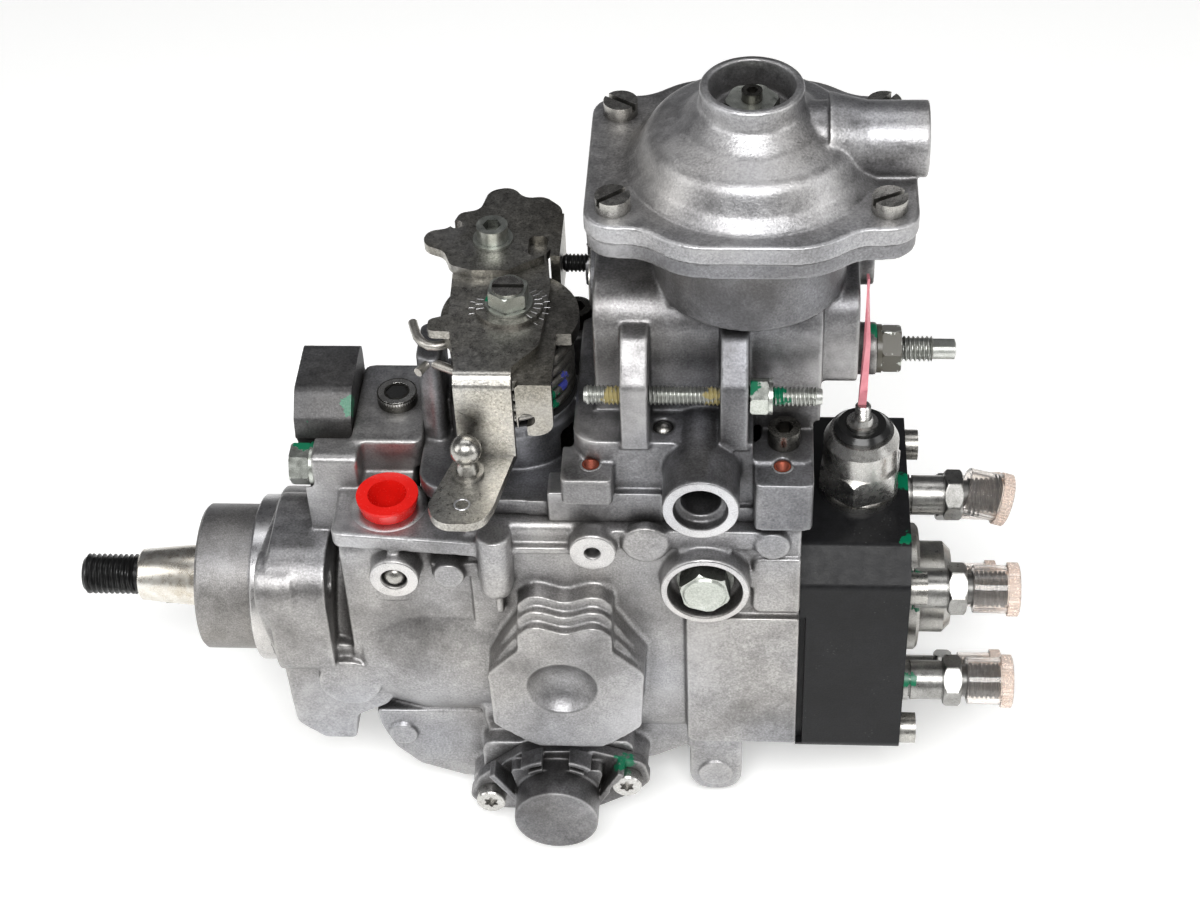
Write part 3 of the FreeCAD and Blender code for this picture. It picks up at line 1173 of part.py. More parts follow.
def governor_lever():
    x0 = PIVOT_X - LEVER_T / 2
    x1 = PIVOT_X + LEVER_T / 2
    face = plate([(-9, PIVOT_Z - 8), (9, PIVOT_Z - 8), (9, 58), (6, LEVER_TOP), (-6, LEVER_TOP), (-9, 58)],
                 [3, 3, 6, 3, 3, 6], "x", x0, x1)
    shaft = rod((PIVOT_X, -UPPER_Y - 5.5, PIVOT_Z), (PIVOT_X, UPPER_Y + 5.5, PIVOT_Z), PIVOT_R)
    eyes = [rod((PIVOT_X, s * 10, PIVOT_Z), (PIVOT_X, s * 16, PIVOT_Z), 6) for s in (-1, 1)]
    bridge = block((x0, x1), (-12, 12), (PIVOT_Z - 5, PIVOT_Z + 5))
    pin = rod((PIVOT_X, 0, SPOOL_R - 0.9), (PIVOT_X, 0, PIVOT_Z - 6), 1.5)
    tip = ball((PIVOT_X, 0, SPOOL_R - 0.9), 2.0)
    eye_hole = rod((x0 - 1, 0, LEVER_TOP - 5), (x1 + 1, 0, LEVER_TOP - 5), 2)
    return join(face, shaft, bridge, pin, tip, *eyes).cut(eye_hole)


def governor_spring():
    start = LEVER_X + 12
    spring = turned(coil(4.0, 0.7, PIVOT_X - LEVER_T / 2 - start - 0.6, 8), 90, (0, 1, 0))
    return moved(spring, start + 0.3, 0, LEVER_TOP - 5)


def lever_shaft():
    top = LEVER_Z + LEVER_PLATE + 8.5
    shaft = rod((LEVER_X, 0, 79), (LEVER_X, 0, top), LEVER_R)
    foot_disc = rod((LEVER_X, 0, 78.6), (LEVER_X, 0, 81.7), 10)
    arm = block((LEVER_X, LEVER_X + 11), (-3, 3), (78.6, 81.7))
    pin = rod((LEVER_X + 9, 0, 72), (LEVER_X + 9, 0, 79), 2)
    slot = block((LEVER_X - 6, LEVER_X + 6), (-0.8, 0.8), (top - 2.2, top + 1))
    return join(shaft, foot_disc, arm, pin).cut(slot)


def control_lever():
    """Middle plate with the bent arm down to the ball stud."""
    x = LEVER_X
    low = LEVER_Z
    high = LEVER_Z + LEVER_PLATE
    edge = ARM_Y + 3
    points = [(x - 20, 36), (x + 9, 36), (x + 12, 10), (x + 10.5, -18), (x + 3, edge), (x - 14.5, edge),
              (x - 18.5, -6)]
    top = plate(points, [5, 5, 8, 8, 0, 0, 6], "z", low, high)
    drop = [(ARM_Y + 3, high), (ARM_Y - 0.5, high), (ARM_Y - 3, high - 3.5), (ARM_Y - 3, ARM_Z),
            (ARM_Y, ARM_Z),
            (ARM_Y, low - 3), (ARM_Y + 3, low)]
    fall = plate(drop, [0, 3, 3, 0, 0, 1.5, 0], "x", x - 14.5, x + 3)
    end_y = -64.0
    flat_points = [(x - 14.5, ARM_Y), (x + 3, ARM_Y), (x - 2, end_y + 8), (x - 5, end_y), (x - 19, end_y),
                   (x - 22, end_y + 8)]
    flat_part = plate(flat_points, [0, 0, 4, 7, 7, 4], "z", ARM_Z - LEVER_PLATE, ARM_Z)
    ring = rod((x, 0, high), (x, 0, high + 1.5), 10.5)
    hook = plate([(x - 17, -3), (x - 24.5, -6), (x - 24.5, -11.5), (x - 15, -12)], [0, 2, 2, 0], "z", low,
                 high)
    shape = join(top, fall, flat_part, ring, hook)
    holes = [rod((x, 0, low - 1), (x, 0, high + 3), LEVER_R), rod((81, -42, ARM_Z - 10), (81, -42,
        ARM_Z + 5), 3.0),
             rod((84.5, 30, low - 1), (84.5, 30, high + 1), 2.5)]
    return remove(shape, *holes)


def spring_plate():
    """Disc under the lever that holds the return spring, with the folded ear and hook."""
    z0 = SPRING_PLATE_Z
    z1 = LEVER_Z
    disc = rod((LEVER_X, 0, z0), (LEVER_X, 0, z1), SPRING_PLATE_R)
    disc = disc.cut(block((LEVER_X - 30, LEVER_X + 30), (-40, -16.5), (z0 - 1, z1 + 1)))
    disc = disc.cut(block((LEVER_X + 9, LEVER_X + 30), (-40, -9), (z0 - 1, z1 + 1)))
    root = block((LEVER_X + 3.2, LEVER_X + 15), (-31, -8), (z1 - 3, z1))
    ear_outline = [(LEVER_X + 4, z1), (LEVER_X + 15, z1), (LEVER_X + 15, ARM_Z + 9), (LEVER_X + 4, ARM_Z + 6)]
    ear = plate(ear_outline, [2, 3, 5, 5], "y", -33, -30)
    ear = ear.cut(rod((LEVER_X + 7, -34, ARM_Z + 14), (LEVER_X + 7, -29, ARM_Z + 14), 2.6))
    ear = ear.cut(block((LEVER_X + 4.4, LEVER_X + 7), (-34, -29), (ARM_Z, ARM_Z + 14)))
    bridge = block((LEVER_X + 5, LEVER_X + 15), (-33, -8), (z1 - 3, z1))
    return join(disc, root, bridge, ear).cut(rod((LEVER_X, 0, z0 - 1), (LEVER_X, 0, z1 + 1), LEVER_R))


def stop_plate():
    """Upper lobed plate, clamped to the lever, with the folded idle stop arm."""
    z0 = LEVER_Z + LEVER_PLATE
    z1 = z0 + LEVER_PLATE
    points = [(61, 28), (63.5, 34.5), (70, 36), (72.5, 44), (79, 46), (81, 56), (88.5, 58.5), (93, 51.5),
              (99, 53.5), (105.5, 47),
              (106.2, 30), (101, 22), (90, 14.5), (79, 14.5), (72, 17), (69.5, 24)]
    radii = [5, 4, 4, 3, 4, 5, 5, 5, 5, 7, 3, 5, 4, 3, 4, 5]
    top = plate(points, radii, "z", z0, z1)
    fold = plate([(LEVER_X + 11.2, 22), (LEVER_X + 14.2, 22), (LEVER_X + 14.2, 44), (LEVER_X + 11.2, 44)],
                 0, "z", LEVER_Z - 14, z1)
    window = plate(rectangle((96, 102), (22, 32)), 2, "z", z0 - 1, z1 + 1)
    holes = [window, rod((84.5, 30, z0 - 1), (84.5, 30, z1 + 1), 2.5), rod((72, 38, z0 - 1), (72, 38,
        z1 + 1), 2.0)]
    return remove(join(top, fold), *holes)


def lever_fasteners():
    z = LEVER_Z + LEVER_PLATE + 1.5
    washer = rod((LEVER_X, 0, z), (LEVER_X, 0, z + 1), 7.4)
    nut = nut_body((LEVER_X, 0, z + 1), (LEVER_X, 0, z + 6.5), 11.5, 25)
    nut = join(washer, nut).cut(rod((LEVER_X, 0, z - 1), (LEVER_X, 0, z + 7), LEVER_R))
    z1 = LEVER_Z + 2 * LEVER_PLATE
    clamp = join(rod((84.5, 30, LEVER_Z - 3), (84.5, 30, z1), 2.5), rod((84.5, 30, z1), (84.5, 30, z1 + 1),
        6.4),
                 rod((84.5, 30, z1 + 1), (84.5, 30, z1 + 6), 5.0))
    clamp = clamp.cut(hexagon((84.5, 30, z1 + 3), (84.5, 30, z1 + 7), 5.2))
    return group([nut, clamp])


def ball_stud():
    x, y = 81, -42
    rivet = rod((x, y, ARM_Z - LEVER_PLATE - 1), (x, y, ARM_Z), 3.0)
    collar = rod((x, y, ARM_Z), (x, y, ARM_Z + 1.6), 5.0)
    neck = taper((x, y, ARM_Z + 1.6), (x, y, ARM_Z + 5), 3.6, 2.8)
    return join(rivet, collar, neck, rod((x, y, ARM_Z + 5), (x, y, ARM_Z + 7), 2.8),
                ball((x, y, ARM_Z + 9.8), 4.8))


def return_spring():
    low = SEAT_Z
    high = SPRING_PLATE_Z - GAP
    spring = coil(SPRING_R, SPRING_WIRE, high - low, SPRING_TURNS)
    return moved(turned(spring, 200, (0, 0, 1)), LEVER_X, 0, low)


NODES = {
    "pump_housing": pump_housing,
    "governor_cover": governor_cover,
    "cover_screws": cover_screws,
    "press_plugs": press_plugs,
    "side_plug_bolt": side_plug_bolt,
    "inlet_plug": inlet_plug,
    "advance_block": advance_block,
    "block_bolt": block_bolt,
    "distributor_head": distributor_head,
    "head_bolts": head_bolts,
    "head_plug": head_plug,
    "delivery_valve_holders": delivery_valve_holders,
    "delivery_valves": delivery_valves,
    "protective_caps": protective_caps,
    "solenoid_body": solenoid_body,
    "solenoid_insulator": solenoid_insulator,
    "solenoid_terminal": solenoid_terminal,
    "terminal_tail": terminal_tail,
    "solenoid_plunger": solenoid_plunger,
    "timing_cover_near": timing_cover_near,
    "timing_cover_far": timing_cover_far,
    "timing_cover_screws": timing_cover_screws,
    "timing_piston": timing_piston,
    "timing_spring": timing_spring,
    "boost_cover": boost_cover,
    "boost_cover_screws": boost_cover_screws,
    "boost_stop_screw": boost_stop_screw,
    "boost_diaphragm": boost_diaphragm,
    "boost_pin": boost_pin,
    "boost_spring": boost_spring,
    "locknuts": locknuts,
    "full_load_screw": full_load_screw,
    "idle_stop_screw": idle_stop_screw,
    "max_speed_screw": max_speed_screw,
    "shaft_seal": shaft_seal,
    "shaft_bush": shaft_bush,
    "drive_shaft": drive_shaft,
    "shaft_key": key_shape,
    "shaft_gear": shaft_gear,
    "feed_cam_ring": feed_cam_ring,
    "feed_rotor": feed_rotor,
    "roller_ring": roller_ring,
    "rollers": rollers,
    "cam_disc": cam_disc,
    "plunger": plunger,
    "plunger_springs": plunger_springs,
    "control_spool": control_spool,
    "governor_shaft": governor_shaft,
    "flyweight_carrier": flyweight_carrier,
    "flyweights": flyweights,
    "governor_sleeve": governor_sleeve,
    "governor_lever": governor_lever,
    "governor_spring": governor_spring,
    "lever_shaft": lever_shaft,
    "control_lever": control_lever,
    "spring_plate": spring_plate,
    "stop_plate": stop_plate,
    "lever_fasteners": lever_fasteners,
    "ball_stud": ball_stud,
    "return_spring": return_spring,
}

for name, make in NODES.items():
    make().exportStep("parts/" + name + ".step")
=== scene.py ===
import math

import bpy
from mathutils import Matrix, Vector


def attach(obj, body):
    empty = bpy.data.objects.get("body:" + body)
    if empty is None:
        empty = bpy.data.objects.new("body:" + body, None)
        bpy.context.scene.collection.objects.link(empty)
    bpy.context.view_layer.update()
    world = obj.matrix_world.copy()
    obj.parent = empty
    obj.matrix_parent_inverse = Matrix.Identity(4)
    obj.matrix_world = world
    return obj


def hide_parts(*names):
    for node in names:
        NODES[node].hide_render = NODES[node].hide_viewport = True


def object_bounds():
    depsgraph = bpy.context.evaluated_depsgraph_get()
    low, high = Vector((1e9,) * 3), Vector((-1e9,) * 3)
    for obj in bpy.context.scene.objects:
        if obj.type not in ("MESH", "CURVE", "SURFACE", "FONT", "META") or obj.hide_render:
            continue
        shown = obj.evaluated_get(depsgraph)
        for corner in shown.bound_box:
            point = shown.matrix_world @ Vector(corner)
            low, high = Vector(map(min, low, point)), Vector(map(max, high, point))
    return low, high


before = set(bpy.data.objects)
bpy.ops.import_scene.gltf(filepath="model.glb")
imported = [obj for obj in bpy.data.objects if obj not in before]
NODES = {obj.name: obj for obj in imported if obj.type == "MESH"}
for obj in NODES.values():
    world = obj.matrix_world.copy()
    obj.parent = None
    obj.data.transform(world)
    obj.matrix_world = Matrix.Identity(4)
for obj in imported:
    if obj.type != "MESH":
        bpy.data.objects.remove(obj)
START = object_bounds()
MM = 0.001

# directions and places on the pump, in millimetres
X = (1, 0, 0)
NEAR = (0, -1, 0)
FAR = (0, 1, 0)
UP = (0, 0, 1)
LEVER_X = 92
TIMING_X = 102.7
TIMING_Z = -50
HEAD_FACE_X = 218.0
OUTLET_RADIUS = 35.5


# materials
def new_material(name):
    mat = bpy.data.materials.new(name)
    mat.use_nodes = True
    tree = mat.node_tree
    tree.nodes.clear()
    out = tree.nodes.new("ShaderNodeOutputMaterial")
    shader = tree.nodes.new("ShaderNodeBsdfPrincipled")
    tree.links.new(shader.outputs[0], out.inputs[0])
    return mat, tree, shader


def feed(tree, socket, value):
    """Link the socket to another node's output, or give it a plain value."""
    if isinstance(value, bpy.types.NodeSocket):
        tree.links.new(value, socket)
    else:
        socket.default_value = value


def node(tree, kind, inputs=None, **settings):
    made = tree.nodes.new(kind)
    for key, value in settings.items():
        setattr(made, key, value)
    for key, value in (inputs or {}).items():
        feed(tree, made.inputs[key], value)
    return made


def coords(tree):
    return node(tree, "ShaderNodeTexCoord").outputs["Object"]


def noise(tree, where, scale, detail, rough):
    inputs = {"Vector": where, "Scale": scale, "Detail": detail, "Roughness": rough}
    return node(tree, "ShaderNodeTexNoise", inputs).outputs[0]


def ramp(tree, value, low, high, first=0.0, last=1.0):
    inputs = {"Value": value, "From Min": low, "From Max": high, "To Min": first, "To Max": last}
    return node(tree, "ShaderNodeMapRange", inputs).outputs[0]


def mix(tree, factor, a, b, mode="MIX"):
    """Mix of two colours, each a socket or a red, green and blue value."""
    made = node(tree, "ShaderNodeMix", data_type="RGBA", blend_type=mode)
    for index, value in ((0, factor), (6, a), (7, b)):
        feed(tree, made.inputs[index], (*value, 1.0) if isinstance(value, tuple) else value)
    return made.outputs[2]


def mix_value(tree, factor, a, b):
    return node(tree, "ShaderNodeMix", {0: factor, 2: a, 3: b}, data_type="FLOAT").outputs[0]


def plus(tree, a, b):
    return node(tree, "ShaderNodeMath", {0: a, 1: b}, operation="ADD").outputs[0]


def times(tree, a, b):
    return node(tree, "ShaderNodeMath", {0: a, 1: b}, operation="MULTIPLY").outputs[0]


def bump(tree, height, distance, normal=None):
    made = node(tree, "ShaderNodeBump", {"Strength": 1.0, "Distance": distance, "Height": height})
    if normal is not None:
        tree.links.new(normal, made.inputs["Normal"])
    return made.outputs[0]


def spot(tree, where, centre, radius):
    """Ragged round patch about a place, both in millimetres."""
    inputs = {0: where, 1: tuple(c * MM for c in centre)}
    away = node(tree, "ShaderNodeVectorMath", inputs, operation="DISTANCE").outputs["Value"]
    swing = 0.55 * radius * MM
    ragged = ramp(tree, noise(tree, where, 260, 4, 0.6), 0.3, 0.7, -swing, swing)
    return ramp(tree, plus(tree, away, ragged), radius * MM, radius * MM * 0.9)


BLACK = (0.0, 0.0, 0.0)
WHITE = (1.0, 1.0, 1.0)
# colour of the painted shade, partly grime, in hollows
HOLLOW_SHADE_AND_GRIME = (0.03, 0.028, 0.025)
# colour of the painted highlight on convex edges
EDGE_HIGHLIGHT = (0.75, 0.75, 0.74)
SPECK = (0.5, 0.5, 0.48)
STAIN_DARK = (0.05, 0.047, 0.045)
STAIN_LIGHT = (0.62, 0.62, 0.63)
TINT_COLD = (0.98, 0.99, 1.03)
TINT_WARM = (1.03, 1.0, 0.96)
PIT_SCALE = 1250
PIT_DEPTH = 0.00004


def metal(name, light, dark, rough, metallic=1.0, grain=2500, grain_height=0.00001, wave=0.0, blotch=45,
          hollow_shade_and_grime=0.0, edge_highlight=0.0, specks=0.0, gloss=0.5, stain=0.0, grit=0.0, marks=()):
    """Metal with blotches of two tones, a grain in the surface, painted shade with some grime in its corners
    and painted highlights on its edges.
    """
    mat, tree, shader = new_material(name)
    where = coords(tree)
    large = noise(tree, where, blotch, 5, 0.6)
    middle = noise(tree, where, blotch * 6, 4, 0.6)
    tone = plus(tree, times(tree, large, 0.6), times(tree, middle, 0.4))
    color = mix(tree, ramp(tree, tone, 0.36, 0.64), dark, light)
    fine = noise(tree, where, grain, 3, 0.6)
    normal = bump(tree, fine, grain_height)
    color = mix(tree, 0.25, color, mix(tree, ramp(tree, fine, 0.3, 0.7), BLACK, WHITE), "OVERLAY")
    if grit > 0:
        pits = noise(tree, where, PIT_SCALE, 4, 0.7)
        normal = bump(tree, pits, PIT_DEPTH, normal)
        color = mix(tree, grit, color, mix(tree, ramp(tree, pits, 0.36, 0.64), BLACK, WHITE), "OVERLAY")
    if wave > 0:
        normal = bump(tree, noise(tree, where, 160, 3, 0.55), wave, normal)
    # painted highlight: lightens convex edges found by pointiness
    if edge_highlight > 0:
        point = node(tree, "ShaderNodeNewGeometry").outputs["Pointiness"]
        color = mix(tree, ramp(tree, point, 0.505, 0.56, 0.0, edge_highlight), color, EDGE_HIGHLIGHT)
    rough_value = ramp(tree, middle, 0.3, 0.7, *rough)
    # painted shade, partly grime: darkens hollows found by ambient occlusion, in patches, and roughens them a
    # little
    if hollow_shade_and_grime > 0:
        hollow = node(tree, "ShaderNodeAmbientOcclusion", {"Distance": 0.007}, samples=4).outputs["AO"]
        patchy = times(tree, ramp(tree, hollow, 0.85, 0.35), ramp(tree, middle, 0.25, 0.6, 0.55, 1.0))
        shade_and_grime_amount = times(tree, patchy, hollow_shade_and_grime)
        color = mix(tree, shade_and_grime_amount, color, HOLLOW_SHADE_AND_GRIME)
        rough_value = plus(tree, rough_value, times(tree, shade_and_grime_amount, 0.25))
    if specks > 0:
        inputs = {"Scale": 650.0, "Vector": where}
        dots = node(tree, "ShaderNodeTexVoronoi", inputs).outputs["Distance"]
        gate = ramp(tree, noise(tree, where, 90, 2, 0.5), 0.55, 0.7)
        speck = times(tree, ramp(tree, dots, 0.22, 0.1), gate)
        color = mix(tree, times(tree, speck, specks), color, SPECK)
    if stain > 0:
        cloud = noise(tree, where, 24, 4, 0.6)
        color = mix(tree, ramp(tree, cloud, 0.5, 0.68, 0.0, stain), color, STAIN_DARK)
        color = mix(tree, ramp(tree, cloud, 0.46, 0.34, 0.0, stain * 0.6), color, STAIN_LIGHT)
        drift = ramp(tree, noise(tree, where, 16, 2, 0.5), 0.35, 0.65)
        color = mix(tree, 1.0, color, mix(tree, drift, TINT_COLD, TINT_WARM), "MULTIPLY")
    metal_value = metallic
    for mark_color, centre, radius in marks:
        mask = spot(tree, where, centre, radius)
        color = mix(tree, mask, color, mark_color)
        rough_value = mix_value(tree, mask, rough_value, 0.3)
        metal_value = mix_value(tree, mask, metal_value, 0.0)
    feed(tree, shader.inputs["Base Color"], color)
    feed(tree, shader.inputs["Roughness"], rough_value)
    feed(tree, shader.inputs["Metallic"], metal_value)
    feed(tree, shader.inputs["Normal"], normal)
    shader.inputs["Specular IOR Level"].default_value = gloss
    return mat


def plastic(name, color, rough, transmission=0.0, second=None):
    """Plastic or rubber of two close tones; the second is a darker one unless it is given."""
    mat, tree, shader = new_material(name)
    where = coords(tree)
    large = noise(tree, where, 130, 4, 0.6)
    fine = noise(tree, where, 1200, 3, 0.6)
    tint = mix(tree, ramp(tree, large, 0.35, 0.65), second or tuple(c * 0.8 for c in color), color)
    feed(tree, shader.inputs["Base Color"], tint)
    feed(tree, shader.inputs["Roughness"], ramp(tree, fine, 0.3, 0.7, rough * 0.85, rough * 1.2))
    feed(tree, shader.inputs["Normal"], bump(tree, fine, 0.00002))
    shader.inputs["Transmission Weight"].default_value = transmission
    shader.inputs["IOR"].default_value = 1.46
    return mat


# paint marks, each with its centre and radius in millimetres
GREEN = (0.0, 0.13, 0.06)
BLUE = (0.05, 0.06, 0.3)
BRASS = (0.3, 0.25, 0.11)
OLIVE = (0.075, 0.07, 0.055)
CAST_MARKS = (
    (GREEN, (125.5, -49.5, -37.5), 4.0),
    (GREEN, (205, 3, 111.5), 3.0),
    (GREEN, (119.5, 30, 177), 4.0),
)
ZINC_MARKS = (
    (GREEN, (166.5, -31, 117.5), 3.6),
    (GREEN, (174.2, -31, 112.5), 2.2),
    (GREEN, (24.5, -9, 71.5), 4.0),
    (GREEN, (85.6, 2, 124), 2.4),
    (OLIVE, (206, 3, 103.2), 11.0),
)
SCREW_MARKS = (
    (BRASS, (126.5, -30, 112), 3.9),
    (BRASS, (156.6, -30, 112), 3.9),
    (GREEN, (175, -30, 112), 3.4),
)

METALS = {
    "cast": dict(light=(0.40, 0.40, 0.405), dark=(0.25, 0.25, 0.255), rough=(0.33, 0.47), metallic=0.92,
                 grain=1500, grain_height=0.00007, wave=0.00012, blotch=40, hollow_shade_and_grime=0.9, edge_highlight=0.35, stain=0.5,
                 grit=0.15),
    "cast_dark": dict(light=(0.25, 0.25, 0.255), dark=(0.14, 0.14, 0.145), rough=(0.34, 0.48),
                      metallic=0.92, grain=1500, grain_height=0.00006, wave=0.0001, blotch=40, hollow_shade_and_grime=0.95,
                      edge_highlight=0.32, stain=0.65, grit=0.16, marks=CAST_MARKS),
    "block": dict(light=(0.13, 0.13, 0.132), dark=(0.065, 0.065, 0.067), rough=(0.42, 0.56), metallic=0.85,
                  grain=1500, grain_height=0.00007, wave=0.0001, blotch=40, hollow_shade_and_grime=0.9, stain=0.5, grit=0.14,
                  marks=((GREEN, (24.5, -9.5, 80), 4.5), (GREEN, (38.6, 0, 80), 3.5))),
    "machined": dict(light=(0.62, 0.62, 0.625), dark=(0.46, 0.46, 0.465), rough=(0.24, 0.36), blotch=60,
                     hollow_shade_and_grime=0.6, stain=0.15),
    "turned": dict(light=(0.34, 0.335, 0.33), dark=(0.22, 0.215, 0.21), rough=(0.42, 0.54), metallic=0.95,
                   grain_height=0.00003, blotch=70, hollow_shade_and_grime=0.3, stain=0.3, grit=0.1),
    "black": dict(light=(0.012, 0.0122, 0.0134), dark=(0.0065, 0.0065, 0.007), rough=(0.3, 0.46),
                  metallic=0.0, grain=1500, grain_height=0.00004, wave=0.00005, blotch=50, specks=0.06,
                  gloss=0.18, marks=((GREEN, (217, -1, 50), 4.0), (GREEN, (218, -27, 48.5), 3.6))),
    "black_screw": dict(light=(0.03, 0.03, 0.03), dark=(0.012, 0.012, 0.012), rough=(0.25, 0.4),
                        metallic=0.6, grain_height=0.00002),
    "dark_steel": dict(light=(0.16, 0.155, 0.14), dark=(0.07, 0.068, 0.06), rough=(0.2, 0.34), blotch=90,
                       hollow_shade_and_grime=0.8),
    "steel": dict(light=(0.5, 0.49, 0.46), dark=(0.3, 0.29, 0.27), rough=(0.2, 0.34), blotch=80, hollow_shade_and_grime=0.8),
    "bright": dict(light=(0.6, 0.595, 0.575), dark=(0.46, 0.45, 0.43), rough=(0.22, 0.32),
                   grain_height=0.000006, blotch=60, hollow_shade_and_grime=0.2),
    "zinc": dict(light=(0.6, 0.62, 0.58), dark=(0.42, 0.44, 0.4), rough=(0.26, 0.4), blotch=70, hollow_shade_and_grime=0.85,
                 marks=ZINC_MARKS),
    "screw": dict(light=(0.66, 0.67, 0.64), dark=(0.48, 0.49, 0.46), rough=(0.3, 0.44), blotch=70, hollow_shade_and_grime=0.9,
                  marks=SCREW_MARKS),
    "plate": dict(light=(0.38, 0.368, 0.33), dark=(0.21, 0.203, 0.18), rough=(0.26, 0.4), grain=1700,
                  grain_height=0.00004, wave=0.00003, blotch=70, hollow_shade_and_grime=0.7, stain=0.5, grit=0.3),
    "arm": dict(light=(0.47, 0.456, 0.412), dark=(0.28, 0.272, 0.245), rough=(0.25, 0.38), grain=1700,
                grain_height=0.00004, wave=0.00003, blotch=70, hollow_shade_and_grime=0.7, stain=0.45, grit=0.3),
    "spring": dict(light=(0.55, 0.53, 0.49), dark=(0.34, 0.325, 0.3), rough=(0.3, 0.44), grain=1800,
                   grain_height=0.00002, blotch=90, hollow_shade_and_grime=0.5,
                   marks=((GREEN, (104.5, -14.5, 95), 4.2), (BLUE, (108.5, -8, 99), 3.0))),
    "shaft_black": dict(light=(0.045, 0.045, 0.045), dark=(0.02, 0.02, 0.02), rough=(0.28, 0.4),
                        metallic=0.8),
    "shaft_bright": dict(light=(0.85, 0.84, 0.8), dark=(0.55, 0.5, 0.42), rough=(0.22, 0.34),
                         grain_height=0.000005, blotch=50),
    "holder": dict(light=(0.42, 0.415, 0.4), dark=(0.24, 0.236, 0.225), rough=(0.26, 0.38), blotch=90,
                   hollow_shade_and_grime=0.7, marks=((GREEN, (218.5, -27, 30), 4.5), (GREEN, (219, -40, -4), 3.5))),
    "plug": dict(light=(0.5, 0.49, 0.465), dark=(0.33, 0.32, 0.3), rough=(0.26, 0.38), blotch=90, hollow_shade_and_grime=0.7,
                 marks=((GREEN, (221, -16, 13), 6.0),)),
    "copper": dict(light=(0.45, 0.12, 0.07), dark=(0.25, 0.06, 0.04), rough=(0.3, 0.45), metallic=0.9,
                   blotch=90, hollow_shade_and_grime=0.4),
}
PLASTICS = {
    "cap_rim": dict(color=(1.0, 0.84, 0.74), rough=0.25, transmission=0.6, second=(1.0, 0.88, 0.8)),
    "rubber": dict(color=(0.02, 0.02, 0.02), rough=0.5),
    "dark": dict(color=(0.006, 0.006, 0.006), rough=0.6),
    "black_plastic": dict(color=(0.012, 0.012, 0.012), rough=0.22),
    "red": dict(color=(0.72, 0.012, 0.008), rough=0.24, second=(0.66, 0.009, 0.006)),
    "cap": dict(color=(1.0, 0.965, 0.93), rough=0.08, transmission=0.95, second=(1.0, 0.92, 0.86)),
    "pink": dict(color=(0.74, 0.28, 0.32), rough=0.4, second=(0.6, 0.18, 0.22)),
}
M = {name: metal(name, **look) for name, look in METALS.items()}
M.update({name: plastic(name, **look) for name, look in PLASTICS.items()})

# pieces by look; the rest are plain steel
LOOK = {
    "cast": "pump_housing timing_cover_far feed_cam_ring boost_cover",
    "cast_dark": "governor_cover timing_cover_near",
    "black": "distributor_head",
    "block": "advance_block",
    "black_screw": "idle_stop_screw",
    "dark_steel": "cover_screws boost_stop_screw",
    "zinc": "side_plug_bolt block_bolt locknuts lever_fasteners",
    "screw": "max_speed_screw full_load_screw",
    "bright": "solenoid_body timing_cover_screws solenoid_terminal",
    "plug": "head_plug",
    "plate": "spring_plate stop_plate",
    "arm": "control_lever",
    "spring": "return_spring",
    "rubber": "shaft_seal boost_diaphragm",
    "black_plastic": "solenoid_insulator",
    "red": "inlet_plug",
    "cap": "protective_caps",
    "pink": "terminal_tail",
}


def paint(obj, look):
    obj.data.materials.clear()
    obj.data.materials.append(M[look])


def shade_smooth(mesh):
    for face in mesh.polygons:
        face.use_smooth = True


def soften(obj, width):
    """Rounded edges on a machined piece, and smooth shading that stops at its corners."""
    shade_smooth(obj.data)
    bevel = obj.modifiers.new("edges", "BEVEL")
    bevel.width = width * MM
    bevel.segments = 2
    bevel.limit_method = "ANGLE"
    bevel.angle_limit = math.radians(35.0)
    bevel.use_clamp_overlap = True
    bevel.harden_normals = True


def cast_form(obj, voxel, turns):
    """Soft fillets all over, as a casting has them."""
    remesh = obj.modifiers.new("cast", "REMESH")
    remesh.mode = "VOXEL"
    remesh.voxel_size = voxel * MM
    remesh.use_smooth_shade = True
    smooth = obj.modifiers.new("fillets", "SMOOTH")
    smooth.factor = 0.5
    smooth.iterations = turns


for obj in NODES.values():
    paint(obj, "steel")
for look, names in LOOK.items():
    for name in names.split():
        paint(NODES[name], look)

# voxel size in millimetres and turns of smoothing
CASTINGS = {
    "pump_housing": (0.65, 7),
    "governor_cover": (0.6, 6),
    "boost_cover": (0.55, 5),
    "timing_cover_near": (0.4, 4),
}
SPRINGS = ("return_spring", "governor_spring", "timing_spring", "boost_spring", "plunger_springs")
EDGE_WIDTH = 0.25
HEAD_EDGE_WIDTH = 1.3
for name, obj in NODES.items():
    if name in CASTINGS:
        cast_form(obj, *CASTINGS[name])
    elif name in SPRINGS:
        shade_smooth(obj.data)
    else:
        soften(obj, HEAD_EDGE_WIDTH if name == "distributor_head" else EDGE_WIDTH)


# turned and threaded pieces
def frame_of(axis):
    axis = Vector(axis).normalized()
    side = Vector((0, 0, 1)) if abs(axis.z) < 0.9 else Vector((1, 0, 0))
    side = (side - axis * side.dot(axis)).normalized()
    return axis, side, axis.cross(side)


def rod(start, end, radius, last=None):
    """Two rings of a plain rod, or of a cone that ends at the last radius."""
    return [(start, radius), (end, radius if last is None else last)]


def thread(start, end, radius, pitch, depth):
    """Rings of a thread that fades out at both ends."""
    rings = []
    count = max(8, int((end - start) / pitch * 7))
    for i in range(count + 1):
        at = start + (end - start) * i / count
        fade = min(1.0, (at - start) / (0.7 * pitch), (end - at) / (0.4 * pitch))

        def radius_at(angle, at=at, fade=fade):
            part = (at / pitch - angle / (2 * math.pi)) % 1.0
            return radius - depth * fade * min(1.0, max(0.0, 1.25 - abs(2 * part - 1) * 1.45))

        rings.append((at, radius_at))
    return rings


